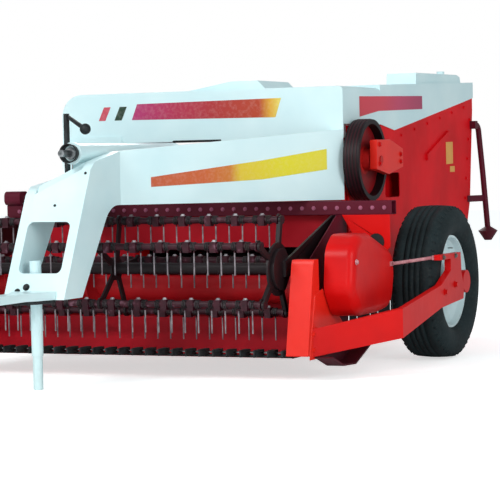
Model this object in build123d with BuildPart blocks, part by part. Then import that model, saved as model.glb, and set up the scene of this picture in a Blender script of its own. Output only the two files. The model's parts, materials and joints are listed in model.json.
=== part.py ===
from build123d import *
import math
import os

# Straw reaper, a trailed machine that gathers and chops stubble behind a tractor.
# Millimetres. +Z is up, the machine travels towards -Y, X is across it. The origin is on
# the ground, in the middle of the machine's length and between its two wheels.

os.makedirs("parts", exist_ok=True)

# Stations along the machine
half_length = 2277.5
axle_y = half_length - 1955
eye_y = axle_y - 2530
hitch_foot_y = axle_y - 2090
knee_y = axle_y - 1450
guard_tip_y = axle_y - 1400
reel_y = axle_y - 1250
auger_y = axle_y - 740
header_back_y = axle_y - 530
body_front_y = axle_y - 430
body_rear_y = axle_y + 1840

# Stations across the machine
body_left = -920
body_right = 800
header_left = -1170
header_right = 842
hitch_right = -30
hitch_left = -370

# Wheels
tyre_radius = 425
tyre_width = 270
axle_drop = 55
bead_radius = 254
track_half = 1165
axle_radius = 30
hub_radius = 75
running_gap = 0.05
side_gap = 6

# Sheet and section sizes
sheet = 5
panel = 6
beam_wall = 50
chassis_height = 90
chassis_width = 70
chassis_wall = 8

# Heights
chassis_z = tyre_radius - axle_drop
hood_low_z = 1225
hood_top_z = 1505
hood_rear_top_z = 1575
beam_low_z = 900
beam_body_top_z = 1270
beam_knee_top_z = 1175
header_beam_low_z = 813
header_beam_high_z = 887

# Reel and auger
reel_z = 563
reel_radius = 252
bat_radius = 17
bat_count = 5
bat_first_angle = 29.3
tine_drop = 146
tine_pitch = 75
tine_across = 8
clamp_count = 12
first_clamp_x = -1000
cam_offset = 60
auger_z = 423
auger_tube_radius = 75
auger_shaft_radius = 25
flight_radius = 188
flight_pitch = 250
flight_thick = 6

# Cutter bar
guard_pitch = 76.2
guard_count = 27
guard_z = 140
knife_thick = 4
guard_width = 30
guard_tip_width = 8
knife_notch_depth = 36
knife_notch_height = 16


def save(piece, name):
    piece.part.label = name
    export_step(piece.part, f"parts/{name}.step")


def yz(x):
    # A sketch on this plane has its own X along +Y and its own Y along +Z, and grows towards +X.
    return Plane(origin=(x, 0, 0), x_dir=(0, 1, 0), z_dir=(1, 0, 0))


def xz(y):
    # A sketch on this plane has X across, Y up, and grows towards +Y when the amount is negative.
    return Plane(origin=(0, y, 0), x_dir=(1, 0, 0), z_dir=(0, -1, 0))


def outline(points):
    # A flat face with straight edges, its points in the sketch's own coordinates
    Polygon(*points, align=None)


# Wheels: the tyre is a road tyre turned about the axle, the rim a dished disc with a hub
wheel_z = tyre_radius
axle = Axis((0, axle_y, wheel_z), (1, 0, 0))
shoulder = 62
wheel_sides = (("left", -1), ("right", 1))

for side, sign in wheel_sides:
    centre = sign * track_half
    half = tyre_width / 2
    wheel_plane = Plane(origin=(centre, axle_y, wheel_z), x_dir=(sign, 0, 0), z_dir=(0, -sign, 0))

    with BuildPart() as tyre:
        with BuildSketch(wheel_plane):
            with BuildLine():
                Line((-half + 45, bead_radius), (half - 45, bead_radius))
                ThreePointArc(
                    (half - 45, bead_radius),
                    (half, bead_radius + 78),
                    (half - 22, tyre_radius - 22),
                )
                Line((half - 22, tyre_radius - 22), (half - shoulder, tyre_radius))
                Line((half - shoulder, tyre_radius), (-half + shoulder, tyre_radius))
                Line((-half + shoulder, tyre_radius), (-half + 22, tyre_radius - 22))
                ThreePointArc(
                    (-half + 22, tyre_radius - 22),
                    (-half, bead_radius + 78),
                    (-half + 45, bead_radius),
                )
            make_face()
        revolve(axis=axle)
    save(tyre, f"tyre_{side}")

    well = bead_radius - 0.3
    with BuildPart() as rim:
        with BuildSketch(wheel_plane):
            outline(
                (
                    (-half + 46, well),
                    (half - 46, well),
                    (half - 46, well - 12),
                    (half - 78, well - 22),
                    (half - 96, well - 40),
                    (half - 118, hub_radius + 62),
                    (half - 74, hub_radius + 12),
                    (half - 74, axle_radius + running_gap),
                    (-half + 60, axle_radius + running_gap),
                    (-half + 60, hub_radius),
                    (half - 134, hub_radius + 2),
                    (half - 134, hub_radius + 62),
                    (half - 112, well - 34),
                    (half - 120, well - 22),
                    (-half + 46, well - 12),
                )
            )
        revolve(axis=axle)
    save(rim, f"rim_{side}")

# Chassis: two long members with cross members, and the axle across them
axle_beam_end = track_half - tyre_width / 2 - side_gap - 40
chassis_front_y = header_back_y + panel
cross_stations = (axle_y - 330, axle_y + 760, axle_y + 1700)

with BuildPart() as chassis:
    for wall in (0, chassis_wall):
        with BuildSketch(Plane.XY.offset(chassis_z + wall)):
            for x in (body_left + chassis_width / 2, body_right - chassis_width / 2):
                with Locations((x, (chassis_front_y + body_rear_y - 20) / 2)):
                    Rectangle(chassis_width - 2 * wall, body_rear_y - 20 - chassis_front_y)
            for y in cross_stations:
                with Locations(((body_left + body_right) / 2, y)):
                    Rectangle(body_right - body_left - chassis_width, chassis_width - 2 * wall)
        extrude(
            amount=chassis_height - 2 * wall,
            mode=Mode.SUBTRACT if wall else Mode.ADD,
        )
    with BuildSketch(Plane.YZ.offset(-axle_beam_end)):
        with Locations((axle_y, wheel_z)):
            Rectangle(110, 2 * (chassis_z + chassis_height - wheel_z))
    extrude(amount=2 * axle_beam_end)
save(chassis, "chassis_frame")

hub_plate_in = track_half + tyre_width / 2 + side_gap
with BuildPart() as axles:
    for side, sign in wheel_sides:
        start = Plane(origin=(sign * axle_beam_end, axle_y, wheel_z), z_dir=(sign, 0, 0))
        with BuildSketch(start):
            Circle(axle_radius)
        extrude(amount=hub_plate_in - axle_beam_end)
save(axles, "stub_axles")

# Header: table with its trough, back wall with the feed throat, ends and top beam
floor_z = 118
trough_radius = flight_radius + 14
guard_rear_y = guard_tip_y + 100
lip_y = guard_rear_y + 6
table_width = header_right - header_left
throat_left = -420
throat_right = 680
throat_low = auger_z
throat_high = 640
trough_back_y = auger_y + trough_radius


def trough_point(degrees):
    # A point on the trough round the auger
    turn = math.radians(degrees)
    return (auger_y + trough_radius * math.cos(turn), auger_z + trough_radius * math.sin(turn))


with BuildPart() as table:
    with BuildSketch(yz(header_left)):
        with BuildLine():
            floor_line = Line((lip_y, floor_z), (reel_y + 150, floor_z))
            ramp = Line(floor_line @ 1, trough_point(222))
            ThreePointArc(ramp @ 1, trough_point(300), (trough_back_y, auger_z))
            offset(amount=panel, side=Side.RIGHT)
        make_face()
    extrude(amount=table_width)
save(table, "header_table")

with BuildPart() as back_wall:
    with BuildSketch(xz(header_back_y)):
        with Locations(((header_left + header_right) / 2, (throat_low + header_beam_low_z) / 2)):
            Rectangle(table_width, header_beam_low_z - throat_low)
        with Locations(((throat_left + throat_right) / 2, (throat_low + throat_high) / 2)):
            Rectangle(throat_right - throat_left, throat_high - throat_low, mode=Mode.SUBTRACT)
    extrude(amount=panel)
save(back_wall, "header_back_wall")

header_beam_depth = 70
header_beam_right = 1132
with BuildPart() as top_beam:
    with BuildSketch(yz(header_left - 30)):
        with Locations((header_back_y - header_beam_depth / 2, (header_beam_low_z + header_beam_high_z) / 2)):
            Rectangle(header_beam_depth, header_beam_high_z - header_beam_low_z)
            Rectangle(header_beam_depth - 12, header_beam_high_z - header_beam_low_z - 12, mode=Mode.SUBTRACT)
    extrude(amount=header_beam_right - header_left + 30)
save(top_beam, "header_top_beam")

for side, inner, sign in (("left", header_left, -1), ("right", header_right, 1)):
    with BuildPart() as end_plate:
        with BuildSketch(yz(inner)):
            outline(
                (
                    (lip_y - 10, floor_z - panel),
                    (lip_y - 10, floor_z + 130),
                    (reel_y - 40, 470),
                    (header_back_y - 140, header_beam_low_z),
                    (header_back_y, header_beam_low_z),
                    (header_back_y, 240),
                    (auger_y + 60, floor_z + 80),
                    (auger_y - 160, floor_z - panel),
                )
            )
            with Locations((auger_y, auger_z)):
                Circle(auger_shaft_radius + running_gap, mode=Mode.SUBTRACT)
            with Locations((lip_y - 10, guard_z + knife_thick / 2)):
                Rectangle(2 * knife_notch_depth, knife_notch_height, mode=Mode.SUBTRACT)
        extrude(amount=sign * panel)
    save(end_plate, f"header_end_{side}")

# Divider columns at the header's ends: a folded post that leans back, on a side plate
column_width = 120
column_high = 610
column_low = 132
side_plate = 6
for side, face, sign in (("left", header_left - panel, -1), ("right", header_right + panel, 1)):
    with BuildPart() as column:
        for inset in (0, panel):
            with BuildSketch(yz(face)):
                outline(
                    (
                        (guard_tip_y + inset, column_low),
                        (guard_tip_y + 94 + inset, column_high - 24),
                        (guard_tip_y + 108 + inset, column_high - inset),
                        (guard_tip_y + 168 - inset, column_high - inset),
                        (guard_tip_y + 180 - inset, column_low),
                    )
                )
            extrude(
                amount=sign * (column_width - inset),
                mode=Mode.SUBTRACT if inset else Mode.ADD,
            )
        with BuildSketch(yz(face + sign * column_width)):
            outline(
                (
                    (guard_tip_y + 14, column_low - 20),
                    (guard_tip_y + 100, 430),
                    (guard_tip_y + 200, 460),
                    (guard_tip_y + 500, 250),
                    (guard_tip_y + 500, column_low - 20),
                )
            )
        extrude(amount=sign * side_plate)
    save(column, f"divider_{side}")

# Cutter bar: a bar with pointed guards that the knife runs through
guard_first_x = (header_left + header_right + (guard_count - 1) * guard_pitch) / 2
knife_slot = knife_thick + 0.6
with BuildPart() as guards:
    with BuildSketch(Plane.XY.offset(guard_z - 18)):
        for n in range(guard_count):
            x = guard_first_x - n * guard_pitch
            outline(
                (
                    (x - guard_width / 2, guard_rear_y),
                    (x - guard_width / 2, guard_tip_y + 45),
                    (x - guard_tip_width / 2, guard_tip_y),
                    (x + guard_tip_width / 2, guard_tip_y),
                    (x + guard_width / 2, guard_tip_y + 45),
                    (x + guard_width / 2, guard_rear_y),
                )
            )
    extrude(amount=36)
    with BuildSketch(yz(header_left)):
        with Locations((guard_rear_y - 8, guard_z + 2)):
            Rectangle(72, knife_slot)
    extrude(amount=table_width, mode=Mode.SUBTRACT)
    with BuildSketch(yz(header_left)):
        with Locations((guard_rear_y - 6, guard_z - 18)):
            Rectangle(24, 12)
    extrude(amount=table_width)
save(guards, "cutter_guards")

knife_low = guard_z
tooth_count = guard_count - 1
knife_half = guard_pitch * tooth_count / 2
knife_mid = (header_left + header_right) / 2
tooth_tip_y = guard_tip_y + 60
tooth_root_y = guard_tip_y + 96
with BuildPart() as knife:
    with BuildSketch(Plane.XY.offset(knife_low)):
        edge = [(knife_mid - knife_half, tooth_root_y + 24), (knife_mid - knife_half, tooth_root_y)]
        for n in range(tooth_count):
            left = knife_mid - knife_half + n * guard_pitch
            edge.append((left + guard_pitch / 2 - 8, tooth_tip_y))
            edge.append((left + guard_pitch / 2 + 8, tooth_tip_y))
            edge.append((left + guard_pitch, tooth_root_y))
        edge.append((knife_mid + knife_half, tooth_root_y + 24))
        outline(edge)
    extrude(amount=knife_thick)
save(knife, "knife")

# Pickup reel: a shaft with three spiders that carry the bats, and a second spider on a
# fixed eccentric that keeps every bat's tines hanging down as the reel turns
reel_axis_left = header_left + 35
reel_axis_right = header_right - 28
bat_left = header_left + 60
bat_right = header_right - 84
spider_thick = 12
spider_stations = (header_left + 75, -175, bat_right - 22)
boss_radius = 30
reel_tube_radius = 30

with BuildPart() as reel_core:
    with BuildSketch(yz(reel_axis_left)):
        with Locations((reel_y, reel_z)):
            Circle(reel_tube_radius)
    extrude(amount=reel_axis_right - reel_axis_left)
    for x in spider_stations:
        with BuildSketch(yz(x)):
            with Locations((reel_y, reel_z)):
                Circle(62)
                with PolarLocations(reel_radius / 2, bat_count, start_angle=180 - bat_first_angle):
                    Rectangle(reel_radius, 34)
                with PolarLocations(reel_radius, bat_count, start_angle=180 - bat_first_angle):
                    Circle(boss_radius)
                    Circle(bat_radius + running_gap, mode=Mode.SUBTRACT)
        extrude(amount=spider_thick)
save(reel_core, "reel_spiders")

with BuildPart() as bat:
    with BuildSketch(yz(bat_left)):
        Circle(bat_radius)
    extrude(amount=bat_right - bat_left)
    with BuildSketch(Plane.XY.offset(-bat_radius - 14)):
        for n in range(clamp_count):
            with Locations((first_clamp_x + n * 2 * tine_pitch, 0)):
                Rectangle(34, 2 * bat_radius + 8)
    extrude(amount=2 * bat_radius + 20)
    with BuildSketch(Plane.XY.offset(-tine_drop)):
        for n in range(2 * clamp_count):
            with Locations((first_clamp_x + (n - 0.5) * tine_pitch, 0)):
                RegularPolygon(tine_across / 2, 6)
    extrude(amount=tine_drop)
    with BuildSketch(yz(bat_right - 4)):
        with Locations((-cam_offset / 2, 0)):
            Rectangle(cam_offset, 26)
        with Locations((0, 0), (-cam_offset, 0)):
            Circle(boss_radius - 8)
    extrude(amount=10)
    with BuildSketch(yz(bat_right)):
        with Locations((-cam_offset, 0)):
            Circle(8)
    extrude(amount=26)

for n in range(bat_count):
    angle = math.radians(bat_first_angle + n * 360 / bat_count)
    place = Location((0, reel_y - reel_radius * math.cos(angle), reel_z + reel_radius * math.sin(angle)))
    with BuildPart() as placed_bat:
        add(bat.part.moved(place))
    save(placed_bat, f"reel_bat_{n + 1}")

journal_radius = 105
cam_x = bat_right + 12
with BuildPart() as cam:
    with BuildSketch(yz(cam_x)):
        with Locations((reel_y - cam_offset, reel_z)):
            Circle(journal_radius + 30)
            with PolarLocations(reel_radius / 2, bat_count, start_angle=180 - bat_first_angle):
                Rectangle(reel_radius, 30)
            with PolarLocations(reel_radius, bat_count, start_angle=180 - bat_first_angle):
                Circle(20)
                Circle(8 + running_gap, mode=Mode.SUBTRACT)
            Circle(journal_radius + running_gap, mode=Mode.SUBTRACT)
    extrude(amount=12)
save(cam, "reel_cam_spider")

for side, start, sign in (("left", reel_axis_left, -1), ("right", reel_axis_right, 1)):
    with BuildPart() as reel_arm:
        with BuildSketch(yz(start)):
            outline(
                (
                    (reel_y - 45, reel_z - 40),
                    (reel_y - 45, reel_z + 40),
                    (header_back_y - 110, header_beam_low_z),
                    (header_back_y - panel, header_beam_low_z),
                    (header_back_y - panel, header_beam_low_z - 90),
                    (reel_y + 60, reel_z - 40),
                )
            )
            with Locations((reel_y, reel_z)):
                Circle(reel_tube_radius + running_gap, mode=Mode.SUBTRACT)
        extrude(amount=-sign * 14)
        if sign > 0:
            with BuildSketch(yz(start - 14)):
                with Locations((reel_y - cam_offset, reel_z)):
                    Circle(journal_radius)
                with Locations((reel_y, reel_z)):
                    Circle(reel_tube_radius + 6, mode=Mode.SUBTRACT)
            extrude(amount=cam_x - start + 14)
    save(reel_arm, f"reel_arm_{side}")

# Auger: a tube with flights at its ends that move the crop to the throat
auger_left = header_left + 10
auger_right = header_right - 10
flight_width = flight_radius - auger_tube_radius + 3
flight_mid = flight_radius - flight_width / 2
flight_spans = ((auger_left + 8, 700, False), (throat_right + 8, auger_right - throat_right - 16, True))


def flight_solid(length, lefthand):
    with BuildPart() as flight:
        with BuildLine():
            path = Helix(flight_pitch, length, flight_mid, lefthand=lefthand)
        with BuildSketch(Plane(origin=path @ 0, x_dir=(1, 0, 0), z_dir=path % 0)):
            Rectangle(flight_width, flight_thick)
        sweep(is_frenet=True)
    return flight.part


with BuildPart() as auger:
    with BuildSketch(yz(auger_left)):
        with Locations((auger_y, auger_z)):
            Circle(auger_tube_radius)
    extrude(amount=auger_right - auger_left)
    with BuildSketch(yz(auger_left + 10)):
        with Locations((auger_y, auger_z)):
            Circle(auger_tube_radius - 6)
    extrude(amount=auger_right - auger_left, mode=Mode.SUBTRACT)
    with BuildSketch(yz(header_left - panel - 20)):
        with Locations((auger_y, auger_z)):
            Circle(auger_shaft_radius)
    extrude(amount=header_right - header_left + 2 * panel + 40)
    for start, length, lefthand in flight_spans:
        turned = Plane(origin=(start, auger_y, auger_z), x_dir=(0, 1, 0), z_dir=(1, 0, 0))
        add(flight_solid(length, lefthand).moved(turned.location))
save(auger, "auger")

# Gooseneck: two box beams from the body's front corners meet above the reel and come
# down ahead of it as the hitch legs
front_slope = 340 / 700
leg_top_y = axle_y - 1750
right_top_z = 1125
left_top_z = 1005
left_knee_top_z = 1050
foot_depth = 190
knee_run = 118
hitch_low_z = 455
knee_curve = 170


def front_edge(z):
    # The hitch legs lean forward as they come down
    return leg_top_y - front_slope * (right_top_z - z)


beam_tables = (
    # a beam's side and outer face, its sign in x, where it ends on the body, then its three top heights
    ("right", hitch_right, 1, body_right, beam_body_top_z, beam_knee_top_z, right_top_z),
    ("left", hitch_left, -1, body_left, hood_low_z, left_knee_top_z, left_top_z),
)
foot_back = front_edge(hitch_low_z) + foot_depth
for side, face, sign, end_x, body_top, knee_top, leg_top in beam_tables:
    with BuildPart() as beam:
        with BuildSketch(yz(face)):
            outline(
                (
                    (front_edge(hitch_low_z), hitch_low_z),
                    (front_edge(leg_top - 40), leg_top - 40),
                    (front_edge(leg_top) + 30, leg_top),
                    (knee_y, knee_top),
                    (knee_y, beam_low_z),
                    (knee_y - knee_run, beam_low_z),
                    (foot_back, hitch_low_z),
                )
            )
            fillet(vertices().sort_by_distance((knee_y - knee_run, beam_low_z, 0))[0], knee_curve)
        extrude(amount=-sign * beam_wall)
        run_x = end_x - face
        run_y = body_front_y - knee_y
        run = math.hypot(run_x, run_y)
        along = Plane(
            origin=(face, knee_y, 0),
            x_dir=(run_x / run, run_y / run, 0),
            z_dir=(run_y / run, -run_x / run, 0),
        )
        with BuildSketch(along):
            outline(
                (
                    (-8, beam_low_z),
                    (-8, knee_top),
                    (run, body_top),
                    (run + beam_wall, body_top),
                    (run + beam_wall, beam_low_z - 10),
                    (run, beam_low_z - 10),
                )
            )
        extrude(amount=-sign * beam_wall)
        split(bisect_by=Plane(origin=(0, body_front_y, 0), z_dir=(0, -1, 0)), keep=Keep.TOP)
    save(beam, f"gooseneck_{side}")

# Hitch: plates between the legs, the tongue with its eye, and the parking jack
plate_left = hitch_left + beam_wall
plate_right = hitch_right - beam_wall
plate_wide = plate_right - plate_left
window_low_z = 580
window_high_z = 830
window_corner = 30
hitch_plate = 16
tongue_thick = 40
eye_radius = 70
eye_bore_radius = 16.5
hitch_x = (hitch_left + hitch_right) / 2
tongue_rear_y = axle_y - 1900

window_sill_z = window_low_z + window_corner
for label, left_low, left_high, right_high in (
    ("hitch_lower_plate", hitch_low_z + tongue_thick, window_sill_z, window_sill_z),
    ("hitch_upper_plate", window_high_z - window_corner, left_top_z - 38, right_top_z - 38),
):
    with BuildPart() as front_plate:
        for x, high in ((plate_left, left_high), (plate_right, right_high)):
            with BuildSketch(yz(x)):
                outline(
                    (
                        (front_edge(left_low), left_low),
                        (front_edge(high), high),
                        (front_edge(high) + hitch_plate, high),
                        (front_edge(left_low) + hitch_plate, left_low),
                    )
                )
        loft(ruled=True)
        with BuildSketch(xz(knee_y)):
            with Locations((hitch_x, (window_low_z + window_high_z) / 2)):
                RectangleRounded(plate_wide, window_high_z - window_low_z, window_corner)
        extrude(amount=knee_y - hitch_foot_y, mode=Mode.SUBTRACT)
    save(front_plate, label)

cowl_thick = 12
cowl_left = (front_edge(left_top_z) + 30, left_top_z, 1050)
cowl_right = (front_edge(right_top_z) + 30, right_top_z, right_top_z)
with BuildPart() as cowl:
    for x, (front, front_z, back_z) in ((plate_left, cowl_left), (plate_right, cowl_right)):
        with BuildSketch(yz(x)):
            outline(
                (
                    (front - 22, front_z - 34),
                    (front, front_z),
                    (knee_y, back_z),
                    (knee_y, back_z - cowl_thick),
                    (front, front_z - cowl_thick),
                    (front - 10, front_z - 34),
                )
            )
    loft(ruled=True)
save(cowl, "hitch_cowl")


def cowl_z(x, y):
    # Height of the cowl's upper face between its two edges
    u = (x - plate_left) / plate_wide
    front = cowl_left[0] + (cowl_right[0] - cowl_left[0]) * u
    front_z = cowl_left[1] + (cowl_right[1] - cowl_left[1]) * u
    back_z = cowl_left[2] + (cowl_right[2] - cowl_left[2]) * u
    return front_z + (back_z - front_z) * (y - front) / (knee_y - front)


jack_x = hitch_x - 50
jack_y = axle_y - 1960
jack_leg_radius = 25
jack_sleeve_radius = 29
jack_sleeve_low = 168
jack_sleeve_high = 640
jack_leg_high = 600
with BuildPart() as tongue:
    with BuildSketch(Plane.XY.offset(hitch_low_z)):
        outline(
            (
                (plate_left, tongue_rear_y),
                (plate_right, tongue_rear_y),
                (plate_right, hitch_foot_y),
                (hitch_x + 50, hitch_foot_y - 150),
                (hitch_x + 50, eye_y),
                (hitch_x - 50, eye_y),
                (hitch_x - 50, hitch_foot_y - 150),
                (plate_left, hitch_foot_y),
            )
        )
        with Locations((hitch_x, eye_y)):
            Circle(eye_radius)
            Circle(eye_bore_radius, mode=Mode.SUBTRACT)
        with Locations((jack_x, jack_y)):
            Circle(jack_sleeve_radius + 0.3, mode=Mode.SUBTRACT)
    extrude(amount=tongue_thick)
save(tongue, "tongue")

with BuildPart() as sleeve:
    with BuildSketch(Plane.XY.offset(jack_sleeve_low)):
        with Locations((jack_x, jack_y)):
            Circle(jack_sleeve_radius)
    extrude(amount=jack_sleeve_high - jack_sleeve_low)
    with BuildSketch(Plane.XY.offset(hitch_low_z + tongue_thick)):
        with Locations((jack_x, jack_y)):
            Circle(jack_sleeve_radius + 12)
    extrude(amount=14)
    with BuildSketch(Plane.XY.offset(jack_sleeve_low)):
        with Locations((jack_x, jack_y)):
            Circle(jack_leg_radius + running_gap)
    extrude(amount=jack_sleeve_high - jack_sleeve_low, mode=Mode.SUBTRACT)
save(sleeve, "jack_sleeve")

with BuildPart() as jack_leg:
    with BuildSketch(Plane.XY):
        with Locations((jack_x, jack_y)):
            Circle(jack_leg_radius)
    extrude(amount=jack_leg_high)
    chamfer(jack_leg.edges().group_by(Axis.Z)[0], 3)
save(jack_leg, "jack_leg")

# Drive line: input shaft in its housing along the gooseneck, gearbox, cross shaft, flywheel
shaft_x = -140
shaft_z = 1168
shaft_radius = 17.45
housing_radius = 50
housing_front_y = axle_y - 1760
housing_rear_y = axle_y - 590
input_reach = 110
cross_y = axle_y - 262
cross_z = 1101
cross_radius = 22
drum_top_z = 1020

with BuildPart() as shaft_housing:
    with BuildSketch(xz(housing_rear_y)):
        with Locations((shaft_x, shaft_z)):
            Circle(housing_radius)
    extrude(amount=housing_rear_y - housing_front_y)
    with BuildSketch(xz(housing_front_y + 14)):
        with Locations((shaft_x, shaft_z)):
            Circle(housing_radius + 6)
    extrude(amount=14)
    with BuildSketch(xz(knee_y + 20)):
        with Locations(((shaft_x + plate_right) / 2, shaft_z - 30)):
            Rectangle(plate_right - shaft_x, 18)
    extrude(amount=60)
    with BuildSketch(xz(housing_rear_y)):
        with Locations((shaft_x, shaft_z)):
            Circle(shaft_radius + running_gap)
    extrude(amount=housing_rear_y - housing_front_y, mode=Mode.SUBTRACT)
save(shaft_housing, "shaft_housing")

with BuildPart() as input_shaft:
    with BuildSketch(xz(housing_rear_y)):
        with Locations((shaft_x, shaft_z)):
            Circle(shaft_radius)
    extrude(amount=housing_rear_y - housing_front_y + input_reach)
    with BuildSketch(xz(housing_front_y - 6)):
        with Locations((shaft_x, shaft_z)):
            Circle(30)
    extrude(amount=12)
save(input_shaft, "input_shaft")

gearbox_left = shaft_x - 95
gearbox_right = shaft_x + 95
with BuildPart() as gearbox:
    with BuildSketch(yz(gearbox_left)):
        outline(
            (
                (housing_rear_y, shaft_z - 60),
                (housing_rear_y, shaft_z + 18),
                (cross_y + 110, shaft_z + 18),
                (cross_y + 130, shaft_z - 20),
                (cross_y + 130, drum_top_z),
                (cross_y - 60, drum_top_z),
                (cross_y - 110, shaft_z - 60),
            )
        )
    extrude(amount=gearbox_right - gearbox_left)
save(gearbox, "gearbox")

rest_x = shaft_x - 82
rest_y = axle_y - 1655
rest_low = cowl_z(rest_x + 9, rest_y + 15) + 0.3
with BuildPart() as shaft_rest:
    with BuildSketch(Plane.XY.offset(rest_low)):
        with Locations((rest_x, rest_y)):
            Rectangle(18, 30)
    extrude(amount=1370 - rest_low)
    with BuildSketch(xz(rest_y + 8)):
        outline(((rest_x, 1370), (rest_x, 1350), (rest_x + 100, 1282), (rest_x + 108, 1300)))
    extrude(amount=16)
    with Locations((rest_x + 107, rest_y, 1290)):
        Sphere(28)
save(shaft_rest, "shaft_rest")

flywheel_radius = 222
flywheel_width = 90
flywheel_in = body_right + 15
with BuildPart() as flywheel:
    with BuildSketch(yz(flywheel_in)):
        with Locations((cross_y, cross_z)):
            Circle(flywheel_radius)
    extrude(amount=flywheel_width)
    for x, deep in ((flywheel_in, 30), (flywheel_in + flywheel_width - 46, 46)):
        with BuildSketch(yz(x)):
            with Locations((cross_y, cross_z)):
                Circle(flywheel_radius - 26)
                Circle(58, mode=Mode.SUBTRACT)
        extrude(amount=deep, mode=Mode.SUBTRACT)
    with BuildSketch(yz(gearbox_right + 2)):
        with Locations((cross_y, cross_z)):
            Circle(cross_radius)
    extrude(amount=flywheel_in + flywheel_width + 50 - gearbox_right)
save(flywheel, "flywheel")

bracket_x = flywheel_in + flywheel_width + 7
panel_out = body_right - sheet
with BuildPart() as outboard:
    with BuildSketch(yz(bracket_x)):
        outline(
            (
                (cross_y - 64, cross_z - 50),
                (cross_y - 64, cross_z + 110),
                (cross_y + 150, cross_z + 110),
                (cross_y + flywheel_radius + 134, cross_z + 60),
                (cross_y + flywheel_radius + 134, cross_z - 40),
                (cross_y + 130, cross_z - 80),
            )
        )
        with Locations((cross_y, cross_z)):
            Circle(cross_radius + running_gap, mode=Mode.SUBTRACT)
    extrude(amount=40)
    with BuildSketch(yz(panel_out)):
        with Locations((cross_y + flywheel_radius + 104, cross_z + 10)):
            Rectangle(60, 90)
    extrude(amount=bracket_x - panel_out)
save(outboard, "bearing_bracket")

# Body: front frame, threshing housing, throat, blower, outlet and the tower on the right
post = 60
drum_front_y = body_front_y + post + 4
drum_rear_y = axle_y + 560
chassis_top = chassis_z + chassis_height
with BuildPart() as front_frame:
    for x in (body_left + post / 2, body_right - sheet - 8 - post / 2):
        with BuildSketch(Plane.XY.offset(chassis_top)):
            with Locations((x, body_front_y + post / 2)):
                Rectangle(post, post)
        extrude(amount=hood_low_z - chassis_top)
    with BuildSketch(xz(body_front_y + post)):
        with Locations(((body_left + body_right) / 2, 880)):
            Rectangle(body_right - body_left - 60, 50)
    extrude(amount=post)
save(front_frame, "front_frame")

drum_left = body_left + 14
drum_right = body_right - 90
with BuildPart() as drum_housing:
    for inset in (0, panel):
        with BuildSketch(yz(drum_left + inset)):
            with Locations(((drum_front_y + drum_rear_y) / 2, (chassis_top + drum_top_z) / 2)):
                RectangleRounded(
                    drum_rear_y - drum_front_y - 2 * inset,
                    drum_top_z - chassis_top - 2 * inset,
                    70,
                )
        extrude(
            amount=drum_right - drum_left - 2 * inset,
            mode=Mode.SUBTRACT if inset else Mode.ADD,
        )
    with BuildSketch(xz(drum_front_y + 75)):
        with Locations(((throat_left + throat_right) / 2, (chassis_top + 10 + throat_high) / 2)):
            Rectangle(throat_right - throat_left, throat_high - chassis_top - 10)
    extrude(amount=80, mode=Mode.SUBTRACT)
save(drum_housing, "threshing_housing")

with BuildPart() as throat:
    with BuildSketch(xz(drum_front_y)):
        with Locations(((throat_left + throat_right) / 2, (throat_low + throat_high) / 2)):
            Rectangle(throat_right - throat_left + 12, throat_high - throat_low + 12)
            Rectangle(throat_right - throat_left, throat_high - throat_low, mode=Mode.SUBTRACT)
    extrude(amount=drum_front_y - header_back_y)
save(throat, "feed_throat")

drum_axis = (axle_y + 110, 740)
with BuildPart() as drum:
    with BuildSketch(yz(drum_left + 40)):
        with Locations(drum_axis):
            Circle(170)
            with PolarLocations(185, 8):
                Rectangle(40, 30)
    extrude(amount=drum_right - drum_left - 80)
    with BuildSketch(yz(drum_left + 60)):
        with Locations(drum_axis):
            Circle(158)
    extrude(amount=drum_right - drum_left - 120, mode=Mode.SUBTRACT)
    with BuildSketch(yz(drum_left + panel + 0.3)):
        with Locations(drum_axis):
            Circle(30)
    extrude(amount=drum_right - drum_left - 2 * panel - 0.6)
save(drum, "threshing_drum")

blower_axis = (axle_y + 1080, 800)
blower_radius = 330
blower_left = body_left + 40
blower_right = 470
duct_side = 20
duct_low_z = 840
duct_high_z = blower_axis[1] + blower_radius
duct_rear_y = axle_y + 1955
with BuildPart() as blower:
    for inset in (0, panel):
        with BuildSketch(yz(blower_left + inset)):
            with Locations(blower_axis):
                Circle(blower_radius - inset)
        extrude(
            amount=blower_right - blower_left - 2 * inset,
            mode=Mode.SUBTRACT if inset else Mode.ADD,
        )
    with BuildSketch(xz(blower_axis[0] + blower_radius + 10)):
        with Locations(((blower_left + blower_right) / 2, (duct_low_z + duct_high_z) / 2)):
            Rectangle(
                blower_right - blower_left - 2 * duct_side - 2 * panel,
                duct_high_z - duct_low_z - 2 * panel,
            )
    extrude(amount=blower_radius, mode=Mode.SUBTRACT)
    for x in (blower_left + 20, blower_right - 40):
        with BuildSketch(yz(x)):
            outline(
                (
                    (cross_stations[1] - 30, chassis_top),
                    (cross_stations[1] - 30, chassis_top + 220),
                    (cross_stations[1] + 60, chassis_top + 220),
                    (cross_stations[1] + 60, chassis_top + 60),
                    (cross_stations[1] + 30, chassis_top),
                )
            )
            with Locations(blower_axis):
                Circle(blower_radius - panel / 2, mode=Mode.SUBTRACT)
        extrude(amount=20)
save(blower, "blower_housing")

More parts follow.
